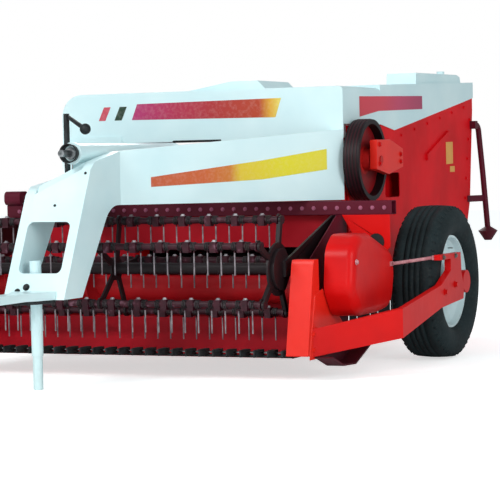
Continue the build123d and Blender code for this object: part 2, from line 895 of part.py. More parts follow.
with BuildPart() as duct:
    for inset in (0, panel):
        with BuildSketch(yz(blower_left + duct_side + inset)):
            outline(
                (
                    (blower_axis[0], duct_low_z + inset),
                    (blower_axis[0], duct_high_z - inset),
                    (duct_rear_y - 60, duct_high_z - inset),
                    (duct_rear_y, duct_high_z - 90),
                    (duct_rear_y, duct_low_z - 60 + inset),
                    (duct_rear_y - 160, duct_low_z + inset),
                )
            )
            with Locations(blower_axis):
                Circle(blower_radius, mode=Mode.SUBTRACT)
        extrude(
            amount=blower_right - blower_left - 2 * duct_side - 2 * inset,
            mode=Mode.SUBTRACT if inset else Mode.ADD,
        )
    for x in (blower_left + 60, blower_right - 60):
        with BuildSketch(Plane.XY.offset(chassis_top)):
            with Locations((x, cross_stations[2])):
                Rectangle(40, 40)
        extrude(amount=duct_low_z - chassis_top + panel / 2)
save(duct, "outlet_duct")

# Tower on the right: a folded sheet with its front edge at the gearbox, a rear wall and an inner wall
tower_inner = 480
tower_front_y = body_front_y + post + 5
tower_wall_y = axle_y + 620
side_low_z = chassis_top
rear_notch_z = 830


def hood_z(y):
    # The hood's top rises towards the rear
    return hood_top_z + (hood_rear_top_z - hood_top_z) * (y - body_front_y) / (body_rear_y - body_front_y)


with BuildPart() as tower:
    with BuildSketch(yz(body_right - 2 * sheet)):
        outline(
            (
                (tower_front_y, side_low_z),
                (tower_front_y, 1290),
                (axle_y + 160, 1290),
                (axle_y + 160, hood_z(axle_y + 160) - 20),
                (body_rear_y - sheet, hood_z(body_rear_y) - 20),
                (body_rear_y - sheet, 1400),
                (axle_y + 1760, rear_notch_z),
                (axle_y + 1600, side_low_z),
            )
        )
        with Locations((cross_y, cross_z)):
            Circle(60, mode=Mode.SUBTRACT)
        with Locations((axle_y + 340, 955)):
            RectangleRounded(240, 140, 20, mode=Mode.SUBTRACT)
    extrude(amount=sheet)
    with BuildSketch(yz(tower_inner)):
        outline(
            (
                (tower_wall_y, side_low_z + 20),
                (tower_wall_y, 1420),
                (body_rear_y - sheet, 1490),
                (body_rear_y - sheet, 1400),
                (axle_y + 1760, rear_notch_z),
                (axle_y + 1600, side_low_z + 20),
            )
        )
    extrude(amount=sheet)
    for corner, next_corner in (
        ((body_rear_y - sheet, 1490), (body_rear_y - sheet, 1400)),
        ((body_rear_y - sheet, 1400), (axle_y + 1760, rear_notch_z)),
        ((axle_y + 1760, rear_notch_z), (axle_y + 1600, side_low_z + 20)),
    ):
        with BuildSketch(yz(tower_inner)):
            outline(
                (
                    corner,
                    next_corner,
                    (next_corner[0] - sheet, next_corner[1]),
                    (corner[0] - sheet, corner[1]),
                )
            )
        extrude(amount=body_right - sheet - tower_inner)
    with BuildSketch(yz(body_right - sheet)):
        outline(
            (
                (axle_y + 925, 1126),
                (axle_y + 1330, 1268),
                (axle_y + 1330, 1238),
                (axle_y + 925, 1090),
            )
        )
    extrude(amount=14)
save(tower, "side_tower")

# Hoods: the wide front cover and the narrow one over the tower, both open below
hood_corner = 125
front_lid_left = -180
front_lid_right = 320
front_lid_rise = 48
front_lid_inset = 70
apron_left = body_left + 62
apron_right = -540
apron_low_z = 990
apron_lap = 40
hood_rear_y = axle_y + 150
side_lip_z = 1300
with BuildPart() as front_hood:
    for inset in (0, sheet):
        with BuildSketch(xz(hood_rear_y - inset)):
            outline(
                (
                    (body_left + inset, hood_low_z - inset),
                    (body_left + inset, hood_top_z - inset),
                    (body_right - inset, hood_top_z - inset),
                    (body_right - inset, hood_low_z - inset),
                )
            )
            fillet(vertices().group_by(Axis.Y)[-1].sort_by(Axis.X)[0], hood_corner - inset)
            fillet(vertices().group_by(Axis.Y)[-1].sort_by(Axis.X)[-1], 24 - inset)
        extrude(
            amount=hood_rear_y - body_front_y - 2 * inset,
            mode=Mode.SUBTRACT if inset else Mode.ADD,
        )
    with BuildSketch(yz(body_right - 2 * sheet)):
        with Locations(((body_front_y + sheet + hood_rear_y) / 2 + 10, (hood_low_z + side_lip_z) / 2)):
            Rectangle(hood_rear_y - body_front_y, side_lip_z - hood_low_z)
    extrude(amount=40, mode=Mode.SUBTRACT)
    with BuildSketch(xz(hood_rear_y - front_lid_inset)):
        outline(
            (
                (front_lid_left, hood_top_z - 2),
                (front_lid_left + 160, hood_top_z + 25),
                (front_lid_left + 290, hood_top_z + front_lid_rise),
                (front_lid_right - 50, hood_top_z + front_lid_rise),
                (front_lid_right, hood_top_z - 2),
            )
        )
    extrude(amount=hood_rear_y - body_front_y - 2 * front_lid_inset)
    with BuildSketch(xz(body_front_y)):
        with Locations(((apron_left + apron_right) / 2, (apron_low_z + hood_low_z + apron_lap) / 2)):
            Rectangle(apron_right - apron_left, hood_low_z + apron_lap - apron_low_z)
    extrude(amount=sheet)
save(front_hood, "front_hood")

hood_inner = 470
hatch_left = 600
hatch_right = body_right - 15
hatch_front_y = axle_y + 800
hatch_rear_y = axle_y + 1620
hatch_front_rise = 66
hatch_rear_rise = 36
knob_y = axle_y + 1525
knob_radius = 24
knob_rise = 74
with BuildPart() as side_hood:
    for inset in (0, sheet):
        with BuildSketch(yz(hood_inner + inset)):
            outline(
                (
                    (hood_rear_y + inset, side_lip_z - 20 * inset),
                    (hood_rear_y + inset, hood_z(hood_rear_y) - inset),
                    (body_rear_y - inset, hood_z(body_rear_y) - inset),
                    (body_rear_y - inset, hood_z(body_rear_y) - 98 - 20 * inset),
                    (axle_y + 380, side_lip_z - 32 - 20 * inset),
                )
            )
        extrude(
            amount=body_right - hood_inner - 2 * inset,
            mode=Mode.SUBTRACT if inset else Mode.ADD,
        )
    with BuildSketch(yz(hatch_left)):
        outline(
            (
                (hatch_front_y, hood_z(hatch_front_y) - 3),
                (hatch_front_y + 8, hood_z(hatch_front_y) + hatch_front_rise),
                (hatch_rear_y - 60, hood_z(hatch_rear_y) + hatch_rear_rise + 12),
                (hatch_rear_y, hood_z(hatch_rear_y) + hatch_rear_rise),
                (hatch_rear_y + 20, hood_z(hatch_rear_y) - 3),
            )
        )
    extrude(amount=hatch_right - hatch_left)
    with BuildSketch(Plane.XY.offset(hood_z(knob_y))):
        with Locations(((hatch_left + hatch_right) / 2, knob_y)):
            Circle(knob_radius)
    extrude(amount=knob_rise)
save(side_hood, "side_hood")

# Outer rails from the divider columns round the wheels to the hub plates
hub_plate_out = hub_plate_in + 36
bend_y = axle_y - 1040
plate_front_y = axle_y - 430
plate_low_z = wheel_z - 115
plate_bend_z = wheel_z + 5
plate_high_z = wheel_z + 165


def upright(inner, outer):
    # An upright plane through two points on the ground, with its X from the first to the second
    across = Vector(outer[0] - inner[0], outer[1] - inner[1], 0)
    return Plane(origin=(inner[0], inner[1], 0), x_dir=across, z_dir=across.cross(Vector(0, 0, 1)))


for side, face, sign in (("left", header_left - panel, -1), ("right", header_right + panel, 1)):
    column_out = face + sign * (column_width + side_plate)
    rail_stations = (
        # inner point, outer point, low, high
        ((column_out, bend_y - 235), (column_out, bend_y - 305), 126, 266),
        ((sign * hub_plate_in, bend_y + 30), (sign * hub_plate_out, bend_y), 200, 350),
        (
            (sign * hub_plate_in, plate_front_y),
            (sign * hub_plate_out, plate_front_y),
            plate_low_z,
            plate_bend_z,
        ),
    )
    with BuildPart() as rail:
        for pair in zip(rail_stations, rail_stations[1:]):
            for inner, outer, low, high in pair:
                wide = math.dist(inner, outer)
                with BuildSketch(upright(inner, outer)):
                    outline(((0, low), (wide, low), (wide, high), (0, high)))
            loft(ruled=True)
        with BuildSketch(yz(sign * hub_plate_in)):
            outline(
                (
                    (plate_front_y, plate_low_z),
                    (axle_y - 60, plate_low_z + 25),
                    (axle_y - 50, wheel_z - 25),
                    (axle_y - 90, wheel_z + 55),
                    (axle_y - 100, plate_high_z),
                    (plate_front_y - 10, plate_high_z),
                    (plate_front_y - 10, plate_high_z - 28),
                    (axle_y - 270, plate_high_z - 28),
                    (axle_y - 270, plate_high_z - 90),
                    (plate_front_y, plate_bend_z),
                )
            )
            with Locations((axle_y, wheel_z)):
                Circle(62)
        extrude(amount=sign * (hub_plate_out - hub_plate_in))
    save(rail, f"outer_rail_{side}")

    skid_width = min(96, hub_plate_out - sign * column_out)
    with BuildPart() as skid:
        with BuildSketch(yz(column_out)):
            outline(
                (
                    (axle_y - 1335, 122),
                    (axle_y - 1170, 66),
                    (axle_y - 1000, 60),
                    (axle_y - 640, 190),
                    (axle_y - 644, 199),
                    (axle_y - 1002, 69),
                    (axle_y - 1168, 75),
                    (axle_y - 1315, 125),
                )
            )
        extrude(amount=sign * skid_width)
        with BuildSketch(yz(column_out)):
            outline(
                (
                    (axle_y - 1310, 122),
                    (axle_y - 1169, 72),
                    (axle_y - 1001, 66),
                    (axle_y - 840, 124),
                    (axle_y - 910, 170),
                    (axle_y - 1100, 170),
                    (axle_y - 1180, 122),
                )
            )
        extrude(amount=sign * 8)
    save(skid, f"skid_{side}")

# Drive guard on the header's right end, the plate above it, the brace to the hub plate
guard_in = header_right + panel + column_width + side_plate + 6
guard_out = 1140
guard_corner = 110
guard_edge = 45
with BuildPart() as bulb:
    with BuildSketch(yz(guard_in)):
        outline(
            (
                (axle_y - 1205, 450),
                (axle_y - 1175, 660),
                (axle_y - 1080, 730),
                (axle_y - 930, 730),
                (axle_y - 600, 625),
                (axle_y - 575, 500),
                (axle_y - 625, 330),
                (axle_y - 800, 310),
                (axle_y - 1100, 310),
            )
        )
        fillet(vertices(), guard_corner)
    extrude(amount=guard_out - guard_in)
    fillet(bulb.faces().sort_by(Axis.X)[-1].edges(), guard_edge)
    offset(amount=-panel, openings=bulb.faces().sort_by(Axis.X)[0])
    with BuildSketch(yz(header_right + panel)):
        with Locations((auger_y, auger_z)):
            Rectangle(130, 130)
    extrude(amount=guard_out - header_right - panel - panel / 2)
    with BuildSketch(yz(header_right)):
        with Locations((auger_y, auger_z)):
            Circle(auger_shaft_radius + 3)
    extrude(amount=40, mode=Mode.SUBTRACT)
save(bulb, "drive_guard")

with BuildPart() as funnel:
    with BuildSketch(xz(header_back_y - header_beam_depth + 8)):
        outline(
            (
                (header_right + panel, header_beam_low_z),
                (1120, header_beam_low_z),
                (1120, 640),
                (1075, 605),
                (1005, 605),
                (960, 655),
                (920, 690),
            )
        )
        with Locations((1040, 668)):
            Circle(46, mode=Mode.SUBTRACT)
    extrude(amount=8)
save(funnel, "beam_gusset")

brace_radius = 9
brace_lug = 8
brace_from = Vector(guard_out + brace_radius, axle_y - 650, 556)
brace_to = Vector(hub_plate_in - brace_radius, plate_front_y - 4, plate_high_z - 14)
with BuildPart() as brace:
    with BuildLine():
        Line(brace_from, brace_to)
    with BuildSketch(Plane(origin=brace_from, z_dir=brace_to - brace_from)):
        Circle(brace_radius)
    sweep()
    for end, lug_x in ((brace_from, guard_out), (brace_to, hub_plate_in - brace_lug)):
        with BuildSketch(yz(lug_x)):
            with Locations((end.Y, end.Z)):
                Rectangle(36, 24)
        extrude(amount=brace_lug)
save(brace, "brace_rod")

# Small pieces: a guard on the top beam's left end and the bent tube behind the tower
with BuildPart() as cap:
    with BuildSketch(yz(header_left - 30)):
        with Locations((header_back_y - 50, header_beam_high_z + 39)):
            RectangleRounded(100, 78, 30)
    extrude(amount=100)
save(cap, "beam_end_cap")

tube_radius = 18
tube_x = body_right - sheet + tube_radius
tube_y = body_rear_y + 50
tube_high_z = 1306
tube_low_z = 640
tube_lean = 55
flare_radius = 62
strap_z = 820
with BuildPart() as rear_tube:
    with BuildLine():
        path = FilletPolyline(
            (tube_x, body_rear_y - 50, tube_high_z),
            (tube_x, tube_y, tube_high_z),
            (tube_x + tube_lean / 2, tube_y, 1000),
            (tube_x + tube_lean, tube_y, tube_low_z),
            radius=40,
        )
    with BuildSketch(Plane(origin=path @ 0, z_dir=path % 0)):
        Circle(tube_radius)
    sweep()
    with BuildSketch(xz(tube_y)):
        outline(
            (
                (tube_x + tube_lean, tube_low_z + 30),
                (tube_x + tube_lean + flare_radius, tube_low_z - 8),
                (tube_x + tube_lean + 22, tube_low_z - 68),
                (tube_x + tube_lean, tube_low_z - 68),
            )
        )
    revolve(axis=Axis((tube_x + tube_lean, tube_y, 0), (0, 0, 1)))
    with BuildSketch(Plane.XY.offset(strap_z)):
        outline(
            (
                (body_right, axle_y + 1700),
                (body_right, axle_y + 1752),
                (tube_x + 0.7 * tube_lean, tube_y + 10),
                (tube_x + 0.7 * tube_lean, tube_y - 20),
            )
        )
    extrude(amount=40)
    with BuildSketch(yz(body_right - sheet)):
        with Locations((body_rear_y - 35, tube_high_z)):
            Rectangle(50, 50)
    extrude(amount=2 * tube_radius)
save(rear_tube, "rear_tube")
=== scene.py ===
import bpy, bmesh, json, math
from mathutils import Matrix, Vector


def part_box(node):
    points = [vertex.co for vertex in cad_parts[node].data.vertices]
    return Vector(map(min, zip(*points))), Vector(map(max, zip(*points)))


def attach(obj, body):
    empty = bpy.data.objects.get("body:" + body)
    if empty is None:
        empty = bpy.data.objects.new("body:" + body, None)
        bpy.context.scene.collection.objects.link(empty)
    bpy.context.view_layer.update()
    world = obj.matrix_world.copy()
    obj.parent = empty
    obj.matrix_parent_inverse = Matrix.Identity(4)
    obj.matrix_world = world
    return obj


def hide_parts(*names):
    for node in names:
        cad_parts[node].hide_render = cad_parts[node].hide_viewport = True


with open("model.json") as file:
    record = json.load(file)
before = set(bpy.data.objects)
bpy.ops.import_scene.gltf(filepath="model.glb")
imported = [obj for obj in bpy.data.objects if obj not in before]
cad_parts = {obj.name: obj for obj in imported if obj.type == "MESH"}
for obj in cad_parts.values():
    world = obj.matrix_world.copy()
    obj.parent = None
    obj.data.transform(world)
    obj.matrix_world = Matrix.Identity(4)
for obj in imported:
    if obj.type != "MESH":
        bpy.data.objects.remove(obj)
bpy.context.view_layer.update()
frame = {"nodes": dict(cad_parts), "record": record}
nodes = frame["nodes"]
print("frame loaded:", len(nodes), "nodes")


def linear(hexColour):
    # sRGB hex to the linear colour that the shader wants
    out = []
    for k in (0, 2, 4):
        c = int(hexColour.lstrip("#")[k:k + 2], 16) / 255
        out.append(c / 12.92 if c <= 0.04045 else ((c + 0.055) / 1.055) ** 2.4)
    return (*out, 1.0)


def addNode(tree, kind, settings=None, inputs=None, stops=None):
    # one node with its settings; an input is a value or another node's output socket, and
    # stops are the places and colours of a colour ramp
    node = tree.nodes.new(kind)
    for key, value in (settings or {}).items():
        setattr(node, key, value)
    for key, value in (inputs or {}).items():
        if isinstance(value, bpy.types.NodeSocket):
            tree.links.new(value, node.inputs[key])
        else:
            node.inputs[key].default_value = value
    if stops:
        elements = node.color_ramp.elements
        while len(elements) < len(stops):
            elements.new(0.5)
        for element, (place, colour) in zip(elements, stops):
            element.position = place
            element.color = colour
    return node


def newMaterial(name):
    mat = bpy.data.materials.new(name)
    mat.use_nodes = True
    tree = mat.node_tree
    tree.nodes.clear()
    shader = addNode(tree, "ShaderNodeBsdfPrincipled")
    addNode(tree, "ShaderNodeOutputMaterial", inputs={"Surface": shader.outputs["BSDF"]})
    coords = addNode(tree, "ShaderNodeTexCoord").outputs["Object"]
    return mat, tree, shader, coords


# Machine enamel: sprayed alkyd paint on sheet steel. It has a soft gloss with a faint
# orange peel, fades in broad patches, and holds dust low down and in streaks.
def enamel(name, paint, faded, dust, roughness, dustHigh, dustAmount, coat, shine):
    mat, tree, shader, coords = newMaterial(name)
    broad = addNode(tree, "ShaderNodeTexNoise", inputs={"Vector": coords, "Scale": 2.6, "Detail": 3.0})
    patch = addNode(tree, "ShaderNodeValToRGB", inputs={"Fac": broad.outputs["Fac"]},
                    stops=((0.36, (0, 0, 0, 1)), (0.68, (1, 1, 1, 1))))
    base = addNode(tree, "ShaderNodeMix", {"data_type": "RGBA"},
                   {"Factor": patch.outputs["Color"], "A": linear(paint), "B": linear(faded)})
    # dust is thicker near the ground and lies in fine runs down the sheet
    place = addNode(tree, "ShaderNodeSeparateXYZ", inputs={"Vector": coords})
    height = addNode(tree, "ShaderNodeMapRange", inputs={
        "Value": place.outputs["Z"], "From Min": 0.05, "From Max": dustHigh,
        "To Min": 1.0, "To Max": 0.0})
    squeezed = addNode(tree, "ShaderNodeMapping", inputs={"Vector": coords, "Scale": (9.0, 9.0, 1.3)})
    streak = addNode(tree, "ShaderNodeTexNoise", inputs={
        "Vector": squeezed.outputs["Vector"], "Scale": 2.4, "Detail": 5.0, "Roughness": 0.6})
    soiled = addNode(tree, "ShaderNodeMath", {"operation": "MULTIPLY"},
                     {0: height.outputs["Result"], 1: streak.outputs["Fac"]})
    amount = addNode(tree, "ShaderNodeMath", {"operation": "MULTIPLY", "use_clamp": True},
                     {0: soiled.outputs["Value"], 1: dustAmount * 1.6})
    dusty = addNode(tree, "ShaderNodeMix", {"data_type": "RGBA"},
                    {"Factor": amount.outputs["Value"], "A": base.outputs["Result"], "B": linear(dust)})
    tree.links.new(dusty.outputs["Result"], shader.inputs["Base Color"])
    rough = addNode(tree, "ShaderNodeMapRange", inputs={
        "Value": amount.outputs["Value"], "From Min": 0.0, "From Max": 0.6,
        "To Min": roughness, "To Max": roughness + 0.35})
    tree.links.new(rough.outputs["Result"], shader.inputs["Roughness"])
    # orange peel: about 6 mm between its bumps, drawn as coarse as it shows
    peel = addNode(tree, "ShaderNodeTexNoise", inputs={"Vector": coords, "Scale": 160.0, "Detail": 2.0})
    sag = addNode(tree, "ShaderNodeTexNoise", inputs={"Vector": coords, "Scale": 7.0, "Detail": 2.0})
    small = addNode(tree, "ShaderNodeBump", inputs={
        "Strength": 0.05, "Distance": 0.001, "Height": peel.outputs["Fac"]})
    dented = addNode(tree, "ShaderNodeBump", inputs={
        "Strength": 0.12, "Distance": 0.02, "Height": sag.outputs["Fac"],
        "Normal": small.outputs["Normal"]})
    tree.links.new(dented.outputs["Normal"], shader.inputs["Normal"])
    shader.inputs["Specular IOR Level"].default_value = shine
    shader.inputs["Coat Weight"].default_value = coat
    shader.inputs["Coat Roughness"].default_value = 0.18
    return mat


# Bare steel: rolled and worn by straw, brighter where it rubs, with a film of rust
def wornSteel(name, bright, dull, roughness, rust, rustAmount, metallic):
    mat, tree, shader, coords = newMaterial(name)
    grain = addNode(tree, "ShaderNodeTexNoise", inputs={"Vector": coords, "Scale": 34.0, "Detail": 6.0})
    tone = addNode(tree, "ShaderNodeValToRGB", inputs={"Fac": grain.outputs["Fac"]},
                   stops=((0.34, linear(dull)), (0.66, linear(bright))))
    spots = addNode(tree, "ShaderNodeTexNoise", inputs={"Vector": coords, "Scale": 11.0, "Detail": 7.0})
    mask = addNode(tree, "ShaderNodeValToRGB", inputs={"Fac": spots.outputs["Fac"]},
                   stops=((0.52, (0, 0, 0, 1)), (0.72, (rustAmount,) * 3 + (1,))))
    mixed = addNode(tree, "ShaderNodeMix", {"data_type": "RGBA"},
                    {"Factor": mask.outputs["Color"], "A": tone.outputs["Color"], "B": linear(rust)})
    tree.links.new(mixed.outputs["Result"], shader.inputs["Base Color"])
    rough = addNode(tree, "ShaderNodeMapRange", inputs={
        "Value": spots.outputs["Fac"], "To Min": roughness - 0.08, "To Max": roughness + 0.25})
    tree.links.new(rough.outputs["Result"], shader.inputs["Roughness"])
    bump = addNode(tree, "ShaderNodeBump", inputs={
        "Strength": 0.15, "Distance": 0.001, "Height": grain.outputs["Fac"]})
    tree.links.new(bump.outputs["Normal"], shader.inputs["Normal"])
    shader.inputs["Metallic"].default_value = metallic
    return mat


# Tyre rubber: vulcanised carbon-black rubber, matte, greyed by dust in its grooves
def tyreRubber(name):
    mat, tree, shader, coords = newMaterial(name)
    cloud = addNode(tree, "ShaderNodeTexNoise", inputs={"Vector": coords, "Scale": 9.0, "Detail": 5.0})
    tone = addNode(tree, "ShaderNodeValToRGB", inputs={"Fac": cloud.outputs["Fac"]},
                   stops=((0.3, linear("#0E1A1D")), (0.7, linear("#1B2A2D"))))
    fine = addNode(tree, "ShaderNodeTexNoise", inputs={"Vector": coords, "Scale": 70.0, "Detail": 4.0})
    dust = addNode(tree, "ShaderNodeValToRGB", inputs={"Fac": fine.outputs["Fac"]},
                   stops=((0.5, (0, 0, 0, 1)), (0.8, (0.35, 0.35, 0.35, 1))))
    mixed = addNode(tree, "ShaderNodeMix", {"data_type": "RGBA"},
                    {"Factor": dust.outputs["Color"], "A": tone.outputs["Color"],
                     "B": linear("#3E4441")})
    tree.links.new(mixed.outputs["Result"], shader.inputs["Base Color"])
    bump = addNode(tree, "ShaderNodeBump", inputs={
        "Strength": 0.25, "Distance": 0.002, "Height": fine.outputs["Fac"]})
    tree.links.new(bump.outputs["Normal"], shader.inputs["Normal"])
    shader.inputs["Roughness"].default_value = 0.78
    shader.inputs["Specular IOR Level"].default_value = 0.3
    return mat


# Reel bat: a dark enamelled tube whose spring tines are dull galvanised wire. The tines hang
# below the tube, so the mask is the height under the bat's own axis.
tineDrop = 0.0325


def batFinish(name, barHeight):
    mat, tree, shader, coords = newMaterial(name)
    place = addNode(tree, "ShaderNodeSeparateXYZ", inputs={"Vector": coords})
    under = addNode(tree, "ShaderNodeMath", {"operation": "LESS_THAN"},
                    {0: place.outputs["Z"], 1: barHeight - tineDrop})
    chips = addNode(tree, "ShaderNodeTexNoise", inputs={"Vector": coords, "Scale": 26.0, "Detail": 5.0})
    paint = addNode(tree, "ShaderNodeValToRGB", inputs={"Fac": chips.outputs["Fac"]}, stops=(
        (0.3, linear("#260A14")), (0.6, linear("#3E101E")), (0.76, linear("#7A5060"))))
    wire = addNode(tree, "ShaderNodeValToRGB", inputs={"Fac": chips.outputs["Fac"]},
                   stops=((0.35, linear("#6E666C")), (0.65, linear("#A8A0A4"))))
    both = addNode(tree, "ShaderNodeMix", {"data_type": "RGBA"},
                   {"Factor": under.outputs["Value"], "A": paint.outputs["Color"],
                    "B": wire.outputs["Color"]})
    tree.links.new(both.outputs["Result"], shader.inputs["Base Color"])
    metal = addNode(tree, "ShaderNodeMath", {"operation": "MULTIPLY"},
                    {0: under.outputs["Value"], 1: 0.6})
    tree.links.new(metal.outputs["Value"], shader.inputs["Metallic"])
    bump = addNode(tree, "ShaderNodeBump", inputs={
        "Strength": 0.2, "Distance": 0.001, "Height": chips.outputs["Fac"]})
    tree.links.new(bump.outputs["Normal"], shader.inputs["Normal"])
    shader.inputs["Roughness"].default_value = 0.5
    shader.inputs["Specular IOR Level"].default_value = 0.3
    return mat


# Flywheel: painted cast iron. Its hub is red, its web a darker red that paints the shade over the dished
# web, and its rim is nearly black with rubber dust.
def flywheelFinish(name, centre, rimRadius, webRadius):
    mat, tree, shader, coords = newMaterial(name)
    place = addNode(tree, "ShaderNodeVectorMath", {"operation": "SUBTRACT"},
                    {0: coords, 1: centre})
    flat = addNode(tree, "ShaderNodeVectorMath", {"operation": "MULTIPLY"},
                   {0: place.outputs["Vector"], 1: (0.0, 1.0, 1.0)})
    radius = addNode(tree, "ShaderNodeVectorMath", {"operation": "LENGTH"}, {0: flat.outputs["Vector"]})
    share = addNode(tree, "ShaderNodeMapRange", inputs={
        "Value": radius.outputs["Value"], "From Max": rimRadius})
    # the hub ends at about 0.4 of the web's radius, and the web at the rim
    web = webRadius / rimRadius
    # the web's darker reds, between the hub and the rim, are painted shade
    tone = addNode(tree, "ShaderNodeValToRGB", inputs={"Fac": share.outputs["Result"]}, stops=(
        (0.0, linear("#C8201E")), (web * 0.36, linear("#C8201E")), (web * 0.42, linear("#8A0E16")),
        (web * 0.97, linear("#9A121A")), (web, linear("#1C0E12")), (1.0, linear("#180C10"))))
    dirt = addNode(tree, "ShaderNodeTexNoise", inputs={"Vector": coords, "Scale": 18.0, "Detail": 5.0})
    shade = addNode(tree, "ShaderNodeValToRGB", inputs={"Fac": dirt.outputs["Fac"]},
                    stops=((0.3, (0.7, 0.7, 0.7, 1)), (0.7, (1.0, 1.0, 1.0, 1))))
    mixed = addNode(tree, "ShaderNodeMix", {"data_type": "RGBA", "blend_type": "MULTIPLY"},
                    {"Factor": 1.0, "A": tone.outputs["Color"], "B": shade.outputs["Color"]})
    tree.links.new(mixed.outputs["Result"], shader.inputs["Base Color"])
    shader.inputs["Roughness"].default_value = 0.5
    shader.inputs["Specular IOR Level"].default_value = 0.25
    return mat


def alongAxis(tree, coords, axis, low, high, stops):
    # plain colours that follow one another from low to high on one axis
    place = addNode(tree, "ShaderNodeSeparateXYZ", inputs={"Vector": coords})
    along = addNode(tree, "ShaderNodeMapRange", inputs={
        "Value": place.outputs[axis], "From Min": low, "From Max": high})
    colour = addNode(tree, "ShaderNodeValToRGB", inputs={"Fac": along.outputs["Result"]},
                     stops=[(at, linear(tone)) for at, tone in stops])
    return colour.outputs["Color"]


# Band film: printed vinyl, satin, running through plain colours along X, with a faint worn grain
def bandFilm(name, stops, lowX, highX):
    mat, tree, shader, coords = newMaterial(name)
    colour = alongAxis(tree, coords, "X", lowX, highX, stops)
    wear = addNode(tree, "ShaderNodeTexNoise", inputs={"Vector": coords, "Scale": 60.0, "Detail": 6.0})
    faded = addNode(tree, "ShaderNodeValToRGB", inputs={"Fac": wear.outputs["Fac"]},
                    stops=((0.45, (0, 0, 0, 1)), (0.8, (0.12, 0.12, 0.12, 1))))
    mixed = addNode(tree, "ShaderNodeMix", {"data_type": "RGBA"},
                    {"Factor": faded.outputs["Color"], "A": colour, "B": linear("#E8E4DA")})
    tree.links.new(mixed.outputs["Result"], shader.inputs["Base Color"])
    shader.inputs["Roughness"].default_value = 0.35
    return mat


# Side band film: the same vinyl, newer and unworn, with its colours running back along Y
def sideFilm(name, stops, lowY, highY):
    mat, tree, shader, coords = newMaterial(name)
    tree.links.new(alongAxis(tree, coords, "Y", lowY, highY, stops), shader.inputs["Base Color"])
    shader.inputs["Roughness"].default_value = 0.35
    return mat


enamelTable = (
    # key, name, paint, faded, dust, roughness, dust up to, dust amount, coat, shine
    # cool white with a clean gloss, as on the hoods and the hitch
    ("white", "white machine enamel", "#DDF6F8", "#D0EEF2", "#B9BDAE", 0.3, 0.5, 0.2, 0.1, 0.4),
    # the same white on the rims, soiled up to the hub
    ("wheel", "white rim enamel", "#D8EEF2", "#C6DEE2", "#98A39B", 0.36, 0.9, 0.3, 0.1, 0.4),
    # full red of the rails and guards, with a soft highlight
    ("red", "red machine enamel", "#DC100E", "#C80E12", "#8A2A22", 0.36, 0.5, 0.15, 0.04, 0.14),
    # the same red, flatter, on the large side sheets, which stay deep at a low angle
    ("side", "side sheet red enamel", "#E4101C", "#CC0C16", "#8A1A1E", 0.46, 0.7, 0.12, 0.0, 0.08),
    # brighter orange red of the dividers at the front corners; on the bearing bracket, which is red
    # paint, it is painted light
    ("orange", "divider orange red enamel", "#F02A1C", "#E2241A", "#9A3A2A", 0.36, 0.4, 0.15, 0.04, 0.2),
    # wine-dark, dull frame paint
    ("maroon", "dull maroon enamel", "#5E0E26", "#4A0A1C", "#4A2A2A", 0.5, 1.0, 0.2, 0.0, 0.2),
    # red rubbed matt by straw, seen between the tines
    ("table", "table red enamel", "#C41426", "#A81020", "#6A2A2A", 0.5, 0.6, 0.15, 0.0, 0.15),
    # red of the auger, a little glossier where straw polishes it
    ("auger", "auger red enamel", "#D01220", "#B40E1A", "#8A5A50", 0.42, 0.7, 0.15, 0.0, 0.2),
    # nearly black ribs round the flywheel, with a trace of maroon
    ("rib", "dark maroon rim enamel", "#3A1018", "#2A0A12", "#2A2022", 0.5, 0.9, 0.1, 0.0, 0.25),
    # black with a warm tinge, which makes the reel's frame recede; on the reel arms it is partly painted
    # shade
    ("spider", "black reel enamel", "#1E1216", "#140C10", "#3A2A2A", 0.45, 0.9, 0.2, 0.0, 0.3),
    # pale pinkish dots of the bolt heads, worn paint with a painted glint on each
    ("dot", "pale pink bolt enamel with painted glint", "#A8607A", "#8A4660", "#6A4A50", 0.5, 0.9, 0.2, 0.0, 0.3),
    # flat orange yellow of the marks on the tower
    ("yellow", "yellow marking film", "#EAAE52", "#DE9C44", "#A08030", 0.4, 0.5, 0.2, 0.0, 0.3),
)
steelTable = (
    # key, name, bright, dull, roughness, rust, rust amount, metallic
    # dark wire with small glints, as the coils look
    ("spring", "oiled dark spring steel", "#4A4648", "#1C1A1C", 0.42, "#6B4630", 0.15, 0.6),
    # pale grey specks of the clamp bolts
    ("tine", "galvanised spring steel", "#C9C5C8", "#8E8A90", 0.42, "#6B4630", 0.2, 0.5),
    # mid grey, rubbed bright
    ("steel", "worn bare steel", "#A9ADAF", "#5E6264", 0.38, "#6B4630", 0.25, 1.0),
    # pale pink that paints the highlight on thin red parts: the pinkish line of the brace rod across the
    # dark tyre, the spring and the guard bolt
    ("rod", "pale pink rod steel with painted highlight", "#D8A0A4", "#B47078", 0.45, "#6B4630", 0.2, 0.2),
    # small light heads with a little rust
    ("bolt", "zinc plated bolt steel", "#B4B8B6", "#7C807E", 0.35, "#6B4630", 0.35, 1.0),
    # oily and nearly black, with brown in its low spots
    ("iron", "oily dark casting", "#2E3234", "#15181A", 0.5, "#3A2A20", 0.25, 0.4),
    # matt black with no metal in it
    ("black", "black moulded guard plastic", "#15181A", "#0C0E10", 0.6, "#1E2022", 0.2, 0.0),
)
materials = {key: enamel(*values) for key, *values in enamelTable}
materials.update({key: wornSteel(*values) for key, *values in steelTable})
materials["rubber"] = tyreRubber("tyre rubber")
